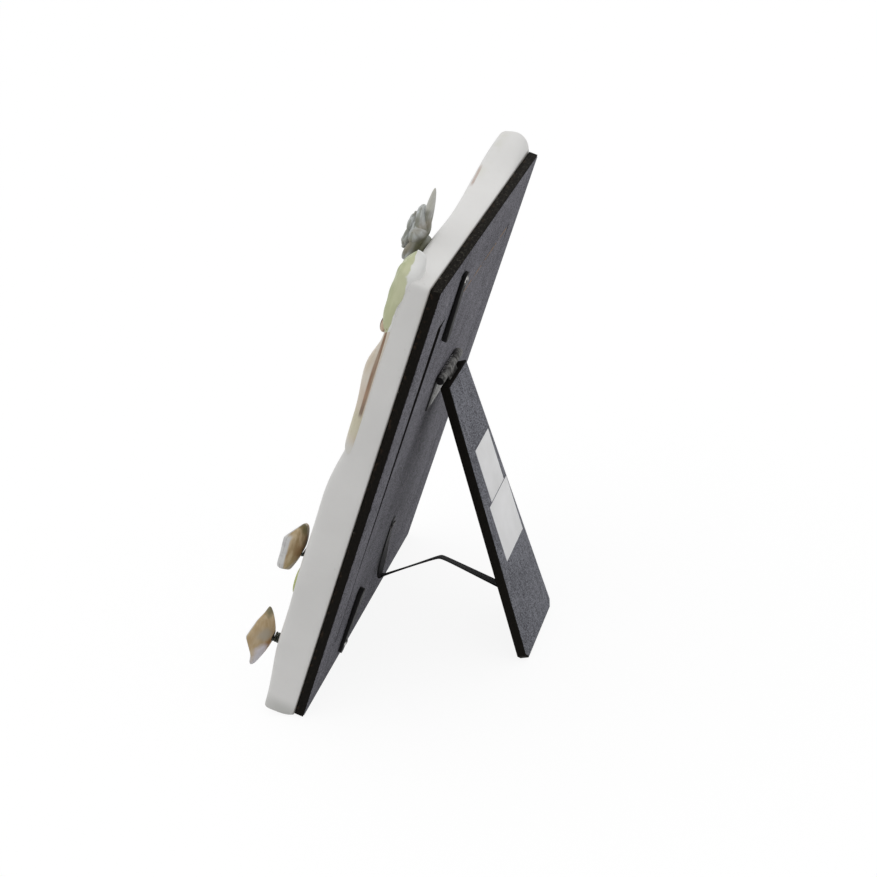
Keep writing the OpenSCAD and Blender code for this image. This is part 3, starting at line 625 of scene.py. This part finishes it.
def spike_place(across, along, face):
    """The pointed petal that stands above the others."""
    width = 4 * girth(along) * (1 - 0.5 * along)
    up = -3 + 23 * along
    thick = 2.3 * (1 - 0.4 * along) * girth(along)
    return Vector((across * width, -5 - 0.05 * up - thick * face, up)) * mm


def calyx_place(across, along, face):
    """The base under the petals, which runs into the casting, painted dark as their shade."""
    up = -12 + 12 * along
    return Vector((6 * across * girth(along), -3.6 - 3.4 * face * girth(along), up)) * mm


# Each petal's turn, reach, half width, start in front of the foot, forward curve and half wall
outer_petals = [(0, 11, 7.2, 5, 3.6, 2.2), (62, 9, 5.2, 5, 3, 2.2), (144, 11.5, 6.4, 5, 3.4, 2.2),
                (205, 12.5, 6.6, 5, 4.4, 2.2), (288, 10, 5.8, 5, 2.4, 2.2)]
inner_petals = [(30 + 72 * step, 7.5, 4.4, 7.6, 3, 1.8) for step in range(5)]
blossom = bmesh.new()
for petal in outer_petals + inner_petals:
    blade(blossom, round_petal(*petal), 40, 28)
blade(blossom, spike_place)
blade(blossom, calyx_place)
blossom.transform(leaned @ Matrix.Translation(blossom_foot))
bmesh.ops.recalc_face_normals(blossom, faces=blossom.faces)
shade, board = new_finish("blossom_sage")
_, y, z = board.split()
across, along, face = blade_place(shade)
brush = board.noise(300, 3)
sage = brush.rise(0.3, 0.7).mix(tint(158, 157, 152), tint(198, 198, 194))
# Painted highlight: the petals turn paler and bluer towards their tips.
sage = (along.rise(0.5, 0.95) * 0.6).mix(sage, tint(204, 211, 212))
veins = 0.5 + 0.5 * (13 * across + 7 * brush).sine()
sage = (0.32 * veins.rise(0.55, 0.95)).mix(sage, tint(122, 116, 106))
# Painted shade between the petals: their side edges are dark olive.
sage = (0.6 * abs(across).rise(0.86, 0.97)).mix(sage, tint(108, 108, 88))
# Painted shade on the backs of the petals, near the middle of the flower.
deep = face.fall(-0.7, -0.2) * along.fall(0.3, 0.6)
sage = (deep * 0.8).mix(sage, tint(96, 94, 70))
sage = (board.noise(120, 2).rise(0.55, 0.7) * 0.5).mix(sage, tint(138, 126, 104))
# Painted highlights: pale blue-white dabs on the fronts of the petals.
painted_highlights = board.noise(170, 2).rise(0.6, 0.7) * 0.7 * face.rise(-0.2, 0.4)
sage = painted_highlights.mix(sage, tint(216, 224, 228))
spike = z.rise(casting_high.z + 10.5 * mm, casting_high.z + 12.5 * mm)
sage = (0.8 * spike).mix(sage, tint(206, 205, 196))
# Painted shade under the petals: the calyx and the base of the flower are dark olive.
calyx_shade = y.rise(blossom_foot.y - 7.5 * mm, blossom_foot.y - 5 * mm)
calyx_shade = calyx_shade * z.fall(casting_high.z - 2 * mm, casting_high.z + 4 * mm)
sage = (0.9 * calyx_shade).mix(sage, brush.mix(tint(52, 52, 34), tint(96, 96, 66)))
hand_painted(shade, board, brush, sage, 800, 0.36)
new_piece("sage_blossom", blossom, "blossom_sage", "top_blossom", "frame", subdivisions=1)

# Glazing pack: clear glass, a plain sheet of print paper and a card that presses it on the glass.
# They drop into the casting's rebate from behind and are held by the door.
weld_gap = 0.001 * mm
flat_angle = radians(1)
edge_angle = radians(35)


def eased(node, width, segments=2):
    """A copy of a CAD node's mesh, merged, with its flat faces joined and its sharp edges rounded."""
    bm = bmesh.new()
    bm.from_mesh(frame["nodes"][node].data)
    bmesh.ops.remove_doubles(bm, verts=bm.verts, dist=weld_gap)
    bmesh.ops.dissolve_limit(bm, angle_limit=flat_angle, verts=bm.verts, edges=bm.edges)
    sharp = [edge for edge in bm.edges
             if len(edge.link_faces) == 2 and edge.calc_face_angle() > edge_angle]
    bmesh.ops.bevel(bm, geom=sharp, offset=width, affect="EDGES", segments=segments, profile=0.5,
                    material=-1, clamp_overlap=True)
    return bm


def eased_piece(name, node, width, finish, body="frame", segments=2):
    """The piece of a CAD node with its edges rounded."""
    new_piece(name, eased(node, width, segments), finish, node, body)


shade, board = new_finish("glass")
smear = board.noise(30, 4).rise(0.45, 0.8)
shade.surface(Base_Color=smear.mix(tint(236, 242, 240), tint(228, 236, 233)),
              Roughness=0.02 + 0.04 * smear, Alpha=0.16 + 0.04 * smear, IOR=1.5)
print_gap = 0.05 * mm
pane = eased("glass_pane", 0.2 * mm)
pane.transform(leaned.inverted())
for vert in pane.verts:
    if vert.co.y > rebate_floor + 1 * mm:
        vert.co.y -= print_gap
pane.transform(leaned)
new_piece("glass", pane, "glass", "glass_pane", "frame")

shade, board = new_finish("print_paper")
fibre = board.mapped(Scale=(1, 1, 0.4)).noise(1400, 3)
tooth = board.noise(500, 3)
shade.surface(fibre + tooth, 0.05 * mm, Roughness=0.6 + 0.2 * tooth,
              Base_Color=(0.6 * fibre + 0.4 * tooth).mix(tint(236, 232, 224), tint(246, 244, 238)))
eased_piece("print_sheet", "print_insert", 0.05 * mm, "print_paper")

shade, board = new_finish("card")
fibre = board.mapped(Scale=(0.3, 1, 1)).noise(900, 4)
shade.surface(fibre, 0.1 * mm, Roughness=0.75 + 0.15 * fibre,
              Base_Color=fibre.rise(0.35, 0.65).mix(tint(168, 140, 104), tint(190, 164, 128)))
eased_piece("pressing_card", "backing_card", 0.15 * mm, "card")

# Back board and door: fibreboard, sawn, painted black on its edges and faced with flocked paper. The
# door is cut from the same board, so a narrow seam runs round it, with raw brown fibre at its top,
# and the upper part of its near edge has sprung a little out of the back.
door_low, door_high = board_box("door_panel")
board_top = board_box("backing_board")[1].z
shade, board = new_finish("board_black")
x, y, z = board.split()
fibre = board.mapped(Scale=(1, 3, 1)).noise(900, 4, 0.65)
chips = board.noise(420, 3, 0.6).rise(0.66, 0.74)
black = fibre.rise(0.3, 0.75).mix(tint(15, 14, 12), tint(32, 29, 25))
grit = board.noise(1300, 3, 0.7).rise(0.54, 0.7)
grit = grit * z.rise(board_top - 0.8 * mm, board_top - 0.2 * mm)
black = (0.5 * grit).mix(black, tint(112, 108, 98))
brown = board.noise(520, 3).rise(0.54, 0.68) * y.fall(-3 * mm, -1.6 * mm)
black = (0.4 * brown).mix(black, tint(72, 56, 44))
raw_seam = (z.rise(door_high.z - 0.3 * mm, door_high.z)
            * abs(x).fall(door_high.x - 16 * mm, door_high.x - 12 * mm)
            * z.fall(door_high.z + 1 * mm, door_high.z + 1.4 * mm)
            * board.noise(160, 2).rise(0.4, 0.6))
black = raw_seam.mix(black, tint(128, 92, 56))
front_line = y.fall(-3.8 * mm, -3.1 * mm) * chips
black = front_line.mix(black, tint(196, 190, 180))
shade.surface(fibre - 0.5 * chips, 0.2 * mm, Base_Color=black, Roughness=0.75 + 0.2 * fibre,
              Specular_IOR_Level=0.08)
eased_piece("back_board", "backing_board", 0.35 * mm, "board_black")
door_spring = 0.9 * mm
bend_x = 43 * mm
bend_mid_x = 49 * mm
bend_z = 60 * mm


def sprung_piece(name, node, width, finish):
    """A piece of the door, with the upper part of its near edge sprung a little out of the back."""
    bm = eased(node, width)
    bm.transform(leaned.inverted())
    for axis, place in ((sideways, bend_x), (sideways, bend_mid_x), (upwards, bend_z)):
        cut_across(bm, axis, place)
    for vert in bm.verts:
        if vert.co.y > -1 * mm:
            up = max(0, vert.co.z - bend_z) / (door_high.z - bend_z)
            vert.co.y += door_spring * up * ease(bend_x, door_high.x, vert.co.x)
    bm.transform(leaned)
    new_piece(name, bm, finish, node, "frame")


sprung_piece("door", "door_panel", 0.3 * mm, "board_black")


def flock(board, dark, pale):
    """The colour and nap of grey flocked paper: fine speckles, with faint streaks up the piece."""
    nap = board.noise(1900, 2, 0.6)
    streaks = board.mapped(Scale=(1, 1, 0.2)).noise(420, 3)
    tone = 0.72 * nap + 0.14 * streaks + 0.14 * board.noise(45, 3)
    fluff = board.noise(640, 2).rise(0.66, 0.74)
    colour = (0.5 * fluff).mix(tone.rise(0.38, 0.62).mix(dark, pale), tint(168, 169, 176))
    return colour, nap


def flocked(shade, colour, nap):
    """The dull, soft surface of flocked paper."""
    shade.surface(nap, 0.25 * mm, Base_Color=colour, Roughness=0.85 + 0.1 * nap, Specular_IOR_Level=0.2)


shade, board = new_finish("back_paper")
x, _, z = board.split()
grey, nap = flock(board, tint(70, 69, 75), tint(146, 145, 153))
by_door = z.rise(door_low.z - 0.6 * mm, door_low.z) * z.fall(door_high.z, door_high.z + 0.6 * mm)
# Painted shade in the seams beside the door: dark bands on the paper, full height at the near side and
# only near the top at the far side.
side_seam_shade = abs(x - door_high.x).fall(0.4 * mm, 0.8 * mm) * by_door
far_seam_shade = abs(x + door_high.x).fall(0.7 * mm, 1.2 * mm) * by_door
far_seam_shade = far_seam_shade * z.rise(door_high.z - 8 * mm, door_high.z - 5 * mm)
over_door = (x.fall(door_high.x - 20 * mm, door_high.x - 16 * mm)
             * x.rise(-door_high.x - 0.5 * mm, -door_high.x))
top_seam = abs(z - door_high.z).fall(0.35 * mm, 0.65 * mm) * over_door
grey = (0.95 * (side_seam_shade + far_seam_shade)).mix(grey, tint(14, 14, 15))
grey = (top_seam * board.noise(260, 2).rise(0.38, 0.5)).mix(grey, tint(156, 128, 96))
flocked(shade, grey, nap)
facing_edge = 0.1 * mm
eased_piece("board_facing", "board_paper", facing_edge, "back_paper")
sprung_piece("door_facing", "door_paper", facing_edge, "back_paper")

# Turn buttons: two stamped strips of spring steel, painted black, that turn on rivets through the
# board and lap over the door. They spring off the back towards their ends, the upper one is the
# shorter, and their paint is scuffed.
shade, board = new_finish("black_metal")
scuff = board.mapped(Scale=(1, 1, 0.15)).noise(800, 3).rise(0.62, 0.74)
mottle = board.noise(200, 3)
worn = 0.5 * scuff * mottle.rise(0.45, 0.7)
shade.surface(mottle + 0.4 * scuff, 0.05 * mm,
              Base_Color=worn.mix(tint(12, 11, 12), tint(96, 94, 92)),
              Roughness=0.5 + 0.25 * mottle, Metallic=0.6 * worn, Specular_IOR_Level=0.15)
# Place, height of the rivet, and share of the CAD strip's length that is kept above and below it
buttons = [("top", 199.5 * mm, 0.55, 0.93), ("bottom", 12.5 * mm, 1, 1)]
for place, rivet_z, above, below in buttons:
    node = "turn_button_" + place
    strip = eased(node, 0.3 * mm, 3)
    strip.transform(leaned.inverted())
    strip_low, strip_high = board_box(node)
    for vert in strip.verts:
        sprung = ease(0, 30 * mm, abs(vert.co.z - rivet_z))
        if vert.co.y > (strip_low.y + strip_high.y) / 2:
            vert.co.y += (0.4 + 0.7 * sprung) * mm
        vert.co.z = rivet_z + (vert.co.z - rivet_z) * (above if vert.co.z > rivet_z else below)
    strip.transform(leaned)
    new_piece("door_button_" + place, strip, "black_metal", node, node)

shade, board = new_finish("rivet_steel")
brushed = board.noise(1600, 3)
dull = board.noise(300, 3)
shade.surface(brushed, 0.03 * mm, Metallic=0.9, Roughness=0.28 + 0.3 * dull,
              Base_Color=dull.rise(0.5, 0.62).mix(tint(46, 45, 44), tint(190, 189, 187)))
rivet_edge = 0.15 * mm
eased_piece("button_rivets", "turn_button_rivets", rivet_edge, "rivet_steel", segments=3)

# Hinge: two stamped steel leaves rolled round a black pin, one riveted on the door and one let into
# a saw cut in the leg. The plating is worn in slanting stripes on the leaves and dull on the barrel,
# and the leaves are painted dark along their outer edges as shade.
shade, board = new_finish("hinge_steel")
x, y, z = board.split()
stripe_pitch = 2.6 * mm
rolled = 0.5 + 0.5 * ((x + 0.25 * z) * (2 * pi / stripe_pitch) + 3 * board.noise(300, 2)).sine()
tarnish = board.noise(520, 3)
# Painted shade: beyond 9 mm from the middle the leaves are dark and not metallic, as along their raised
# outer edges.
stripes_and_edge_shade = rolled.rise(0.35, 0.65) * abs(x).fall(8 * mm, 9 * mm)
plate = stripes_and_edge_shade.mix(tint(34, 33, 33), tint(222, 221, 220))
barrel = tarnish.rise(0.4, 0.66).mix(tint(50, 49, 48), tint(122, 121, 119))
on_barrel = y.rise(1 * mm, 1.4 * mm)
shade.surface(0.5 * rolled + 0.5 * tarnish, 0.04 * mm, Base_Color=on_barrel.mix(plate, barrel),
              Metallic=0.3 * on_barrel + 0.85 * stripes_and_edge_shade * (1 - on_barrel),
              Roughness=0.38 + 0.3 * tarnish, Specular_IOR_Level=0.3)
leaf_edge = 0.12 * mm
eased_piece("hinge_leaf_on_door", "door_hinge_leaf", leaf_edge, "hinge_steel")
eased_piece("hinge_leaf_in_leg", "leg_hinge_leaf", leaf_edge, "hinge_steel", "leg")
eased_piece("pin_of_hinge", "hinge_pin", 0.2 * mm, "black_metal", segments=3)
sides = [("door", "frame"), ("leg", "leg")]
for side, body in sides:
    eased_piece("rivets_in_" + side, side + "_hinge_rivets", rivet_edge, "rivet_steel", body)

# Easel leg: a tapered fibreboard strip, painted black on its edges and faced with grey flocked
# paper outside. Two white paper stickers on the facing are left blank.
leg_open = radians(34)
leg_turn = lean - leg_open
eased_piece("leg_board", "easel_leg", 0.35 * mm, "board_black", "leg")
shade, leg = new_finish("leg_facing", leg_turn)
grey, nap = flock(leg, tint(72, 73, 78), tint(148, 149, 157))
flocked(shade, grey, nap)
eased_piece("leg_cover", "leg_paper", facing_edge, "leg_facing", "leg")
shade, leg = new_finish("sticker_white", leg_turn)
fibre = leg.noise(1200, 3)
soil = leg.noise(60, 4)
shade.surface(fibre, 0.03 * mm, Roughness=0.45 + 0.2 * fibre,
              Base_Color=soil.rise(0.3, 0.75).mix(tint(250, 250, 251), tint(238, 238, 238)))
for place in ("upper", "lower"):
    eased_piece(place + "_label", place + "_sticker", 0.03 * mm, "sticker_white", "leg")

# Staples: bent steel wire across each end of the ribbon. The points of one are driven into the door
# and of the other into the leg, and the crown of each lies on the tape.
shade, board = new_finish("staple_steel")
wire = board.noise(900, 3)
shade.surface(wire, 0.03 * mm, Metallic=0.95, Roughness=0.3 + 0.2 * wire,
              Base_Color=wire.rise(0.35, 0.65).mix(tint(34, 33, 33), tint(112, 111, 110)))
for side, body in sides:
    eased_piece("wire_on_" + side, side + "_staple", 0.24 * mm, "staple_steel", body, segments=3)

# Springs: short coils of dark steel wire, seated in shallow holes in the casting. They bend up a
# little under the flowers, which nod on them.
wire_r = 0.5 * mm
coil_r = 1.8 * mm
coil_steps = 20
wire_sides = 12
spring_low, spring_high = board_box("upper_spring")
flower_x = (spring_low.x + spring_high.x) / 2
shade, board = new_finish("spring_steel")
wear = board.noise(900, 3)
shade.surface(wear, 0.03 * mm, Metallic=0.7, Roughness=0.32 + 0.25 * wear,
              Base_Color=wear.rise(0.4, 0.7).mix(tint(38, 42, 36), tint(92, 98, 88)))


class Seat:
    """A spring and its seat in the casting: its height and length in millimetres, its curls, and its
    bend upwards in degrees."""

    def __init__(self, name, height, length, curls, lift):
        self.name = name
        self.length = length * mm
        self.curls = curls
        self.lift = radians(lift)
        self.foot = Vector((flower_x, board_box(name + "_spring")[1].y, height * mm))

    def bent(self, along, offset):
        """A point of the bent spring: along its middle line and off it."""
        radius = self.length / self.lift
        turn = along / radius
        middle = Vector((0, -radius * sin(turn), radius * (1 - cos(turn))))
        return self.foot + middle + Matrix.Rotation(-turn, 3, "X") @ offset

    def head(self):
        """The place and turn of what sits on the spring."""
        end = self.bent(self.length, Vector())
        return Matrix.Translation(end) @ Matrix.Rotation(-self.lift, 4, "X")


seats = [Seat("upper", 72, 4.4, 2, 10), Seat("lower", 25, 7.2, 5, 2)]
for seat in seats:
    spring = bmesh.new()
    ring = bmesh.ops.create_circle(spring, radius=wire_r, segments=wire_sides)["verts"]
    for vert in ring:
        vert.co = Vector((coil_r + vert.co.x, -2 * wire_r + vert.co.y, 0))
    steps = coil_steps * seat.curls
    climb = (seat.length - 4 * wire_r) / steps
    bmesh.ops.spin(spring, geom=spring.edges[:], cent=(0, 0, 0), axis=(0, -1, 0),
                   angle=2 * pi * seat.curls, dvec=(0, -climb, 0), steps=steps)
    bmesh.ops.remove_doubles(spring, verts=spring.verts, dist=weld_gap)
    bmesh.ops.holes_fill(spring, edges=[edge for edge in spring.edges if edge.is_boundary])
    bmesh.ops.recalc_face_normals(spring, faces=spring.faces)
    for vert in spring.verts:
        along = min(seat.length, max(0, -vert.co.y))
        vert.co = leaned @ seat.bent(along, Vector((vert.co.x, 0, vert.co.z)))
    coil = new_piece(seat.name + "_coil", spring, "spring_steel", seat.name + "_spring")
    leaned @ seat.bent(seat.length, Vector())
    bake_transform(coil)

# Flowers: two four-petalled cup flowers on the springs, each modelled by hand in resin as a thick dish.
# They are painted tan outside, with browns and greys brushed over it and darker painted shade on the
# back towards its middle, and white at the lip and inside.


def flower_finish(name, base, lip_at, patches):
    """Paint of a flower: a tan wash on its back, which ends at a share of the way round its lip, with
    patches of (across, up, size, colour) over it, some of them painted shade."""
    shade, board = new_finish(name)
    across, up, side = blade_place(shade)
    brush = board.noise(330, 3)
    strokes = board.mapped(Scale=(1, 1, 0.3)).noise(420, 3)
    paint = strokes.rise(0.3, 0.7).mix(base, tint(206, 186, 152))
    for right, high, size, colour in patches:
        away = ((across - right) ** 2 + (up - high) ** 2) ** 0.5 + 0.25 * (brush - 0.5)
        paint = (0.95 * away.fall(0.3 * size, 1.1 * size)).mix(paint, colour)
    white = brush.rise(0.35, 0.7).mix(tint(226, 226, 224), tint(205, 204, 204))
    crack = abs(side - 0.5).fall(0.02, 0.06) * board.noise(160, 2).rise(0.4, 0.55)
    lip = (0.4 * crack).mix(white, tint(150, 140, 128))
    near_lip = (side + 0.1 * (brush - 0.5)).rise(lip_at, lip_at + 0.1) * across.rise(0.55, 0.75)
    paint = shade.math("MAXIMUM", near_lip, side.rise(0.6, 0.75)).mix(paint, lip)
    gold = side.rise(0.9, 1) * (across ** 2 + up ** 2).fall(0.03, 0.09)
    paint = (0.8 * gold).mix(paint, brush.mix(tint(176, 132, 70), tint(212, 178, 116)))
    shade.surface(0.5 * brush + 0.3 * strokes, 0.3 * mm, Base_Color=paint,
                  Roughness=0.4 + 0.2 * brush, Coat_Weight=0.08, Coat_Roughness=0.3)


# Corners of each flower's rim: turn from upright, reach, and how far forward its back and front lie
upper_rim = [(0, 11.9, 2.9, 5.3), (47, 11.8, 5.4, 9.2), (131, 11, 2.4, 6), (167, 10.8, 0, 3.6),
             (230, 10.5, 1, 3.8), (310, 10.8, 2.4, 4.8)]
lower_rim = [(0, 13.9, 4.2, 5.6), (9, 11.6, 4.4, 6.2), (34, 10.8, 5.6, 7.7), (80, 10.6, 7.4, 9.4),
             (131, 11.6, 3.2, 5), (152, 15.4, 2.8, 4.6), (163, 15.6, 2.6, 4.4), (180, 10.4, 0.6, 3.2),
             (232, 11, 2, 4.2), (285, 11, 5, 7), (350, 11.2, 3.6, 5.4)]
# Upper flower: orange-brown and grey patches, and painted shade in dark brown and olive towards the top
# of the back, darkest at its middle by the spring.
flower_finish("flower_tan", tint(166, 140, 100), 0.04, [
    (0.35, 0.1, 0.5, tint(150, 116, 72)), (-0.2, 0.5, 0.6, tint(104, 82, 50)),
    (0, 0.95, 0.3, tint(104, 96, 58)), (0.2, -0.8, 0.5, tint(170, 160, 144)),
    (0, 0, 0.24, tint(58, 52, 42))])
# Lower flower: grey, orange and white-lilac patches, olive-grey at the top, and painted shade darkest
# at the middle of the back, by the spring.
flower_finish("flower_tan_low", tint(186, 160, 120), 0.55, [
    (0.5, 0.25, 0.4, tint(184, 174, 156)), (0.25, -0.25, 0.35, tint(166, 121, 71)),
    (0.5, -0.5, 0.38, tint(226, 222, 230)), (0.36, -0.82, 0.42, tint(222, 219, 226)),
    (0, 1, 0.28, tint(130, 124, 96)), (0, 0, 0.2, tint(62, 54, 40))])
# Rings of a dish, from the middle of its back round the lip: share of the way out, and 0 behind to 1
dish_rings = [(0.2, 0), (0.42, 0), (0.64, 0), (0.82, 0), (0.93, 0), (0.99, 0.1), (1.03, 0.5),
              (0.99, 0.9), (0.92, 1), (0.75, 1), (0.5, 1), (0.25, 1)]


def dish_place(corners, base, power, turn, share, side):
    """A point of a thick dish with a rim of straight edges: a share of the way out, and 0 for its
    back or 1 for its front."""
    following = corners[1:] + [(corners[0][0] + 360,) + corners[0][1:]]
    for here, there in zip(corners, following):
        turn_a, reach_a, back_a, front_a = here
        turn_b, reach_b, back_b, front_b = there
        if turn_a <= turn <= turn_b:
            past = reach_a * sin(radians(turn - turn_a))
            left = reach_b * sin(radians(turn_b - turn))
            part = past / (past + left)
            reach = reach_a * reach_b * sin(radians(turn_b - turn_a)) / (past + left)
            back = back_a + (back_b - back_a) * part
            wall = front_a + (front_b - front_a) * part - back
    lobes = 0.9 * abs(sin(radians(2 * turn))) * 4 * share * max(0, 1 - share)
    forward = base + (back - base) * min(1, share) ** power + (wall + lobes) * side
    out = reach * share
    return Vector((out * sin(radians(turn)), -forward, out * cos(radians(turn)))) * mm


def heart_place(across, along, face):
    """The small round heart in the middle of a flower."""
    width = 2.2 * mm * girth(along) ** 0.7
    return Vector((across * width, -0.6 * mm - 4 * mm * along, -face * width))


# Spring, rim, place of the dish's back behind the spring's end, how its back curves, and paint
flowers = [(seats[0], upper_rim, -1, 2, "flower_tan"),
           (seats[1], lower_rim, -1.1, 1.7, "flower_tan_low")]
rim_points = 60
for seat, corners, base, power, paint in flowers:
    flower = bmesh.new()
    bmesh.ops.create_circle(flower, cap_ends=True, radius=2 * mm, segments=rim_points)
    layer = flower.verts.layers.float_vector.new(petal_layer)
    for vert in flower.verts:
        vert.co = Vector((vert.co.x, (-base - 0.4) * mm, vert.co.y))
    rim = [edge for edge in flower.edges if edge.is_boundary]
    for share, side in dish_rings:
        def ring_place(vert):
            turn = degrees(atan2(vert.co.x, vert.co.z)) % 360
            vert[layer] = (share * sin(radians(turn)), share * cos(radians(turn)), side)
            return dish_place(corners, base, power, turn, share, side)
        rim = extruded(flower, rim, ring_place)
    bmesh.ops.holes_fill(flower, edges=rim)
    for vert in blade(flower, heart_place, 24, 16):
        vert[layer] = (0, 0, 1)
    bmesh.ops.recalc_face_normals(flower, faces=flower.faces)
    flower.transform(leaned @ seat.head())
    node = seat.name + "_flower"
    new_piece(seat.name + "_bloom", flower, paint, node, node, subdivisions=1, slot="flower_tan")

# Studio: a plain pale floor, a white surround that the camera, metal and glass see at full
# strength, and one large soft lamp overhead.
ambient = 0.78
world = bpy.data.worlds.new("studio")
scene.world = world
world.use_nodes = True
shade = Shade(world.node_tree)


def seen_directly(shade):
    """1 for rays from the camera, from gloss and through glass, and 0 for the light on the object."""
    rays = shade.node("LightPath").socket.node.outputs
    camera_ray, glossy_ray, through_ray = (Shade(shade.tree, rays[name]) for name in (
        "Is Camera Ray", "Is Glossy Ray", "Is Transmission Ray"))
    return shade.math("MAXIMUM", shade.math("MAXIMUM", camera_ray, glossy_ray), through_ray)


background = world.node_tree.nodes["Background"]
background.inputs["Color"].default_value = (1, 1, 1, 1)
shade.join(background.inputs["Strength"], ambient + (1 - ambient) * seen_directly(shade))

floor = bmesh.new()
bmesh.ops.create_grid(floor, x_segments=8, y_segments=8, size=6)
floor_mesh = bpy.data.meshes.new("floor")
floor.to_mesh(floor_mesh)
floor.free()
shade, level = new_finish("floor_white", 0)
paper = level.noise(40, 2)
seen = seen_directly(shade)
bounce = tint(186, 186, 186)
white = paper.mix(tint(253, 253, 253), tint(255, 255, 255))
matt = shade.node("BsdfDiffuse", {}, {"Color": seen.mix(bounce, white)})
glow = shade.node("Emission", {}, {"Color": (1, 1, 1, 1), "Strength": 1.04})
shown = shade.node("MixShader", {}, {0: 0.85 * seen, 1: matt, 2: glow})
shade.join(shade.tree.nodes["Material Output"].inputs["Surface"], shown)
floor_mesh.materials.append(finishes["floor_white"])
floor_thing = bpy.data.objects.new("floor", floor_mesh)
scene.collection.objects.link(floor_thing)

lamp = bpy.data.objects.new("overhead", bpy.data.lights.new("overhead", "AREA"))
lamp.data.size = 1.2
lamp.data.energy = 0.9
lamp.location = (0.2, 0.9, 1.2)
lamp.rotation_mode = "QUATERNION"
lamp.rotation_quaternion = lamp.location.to_track_quat("Z", "Y")
scene.collection.objects.link(lamp)
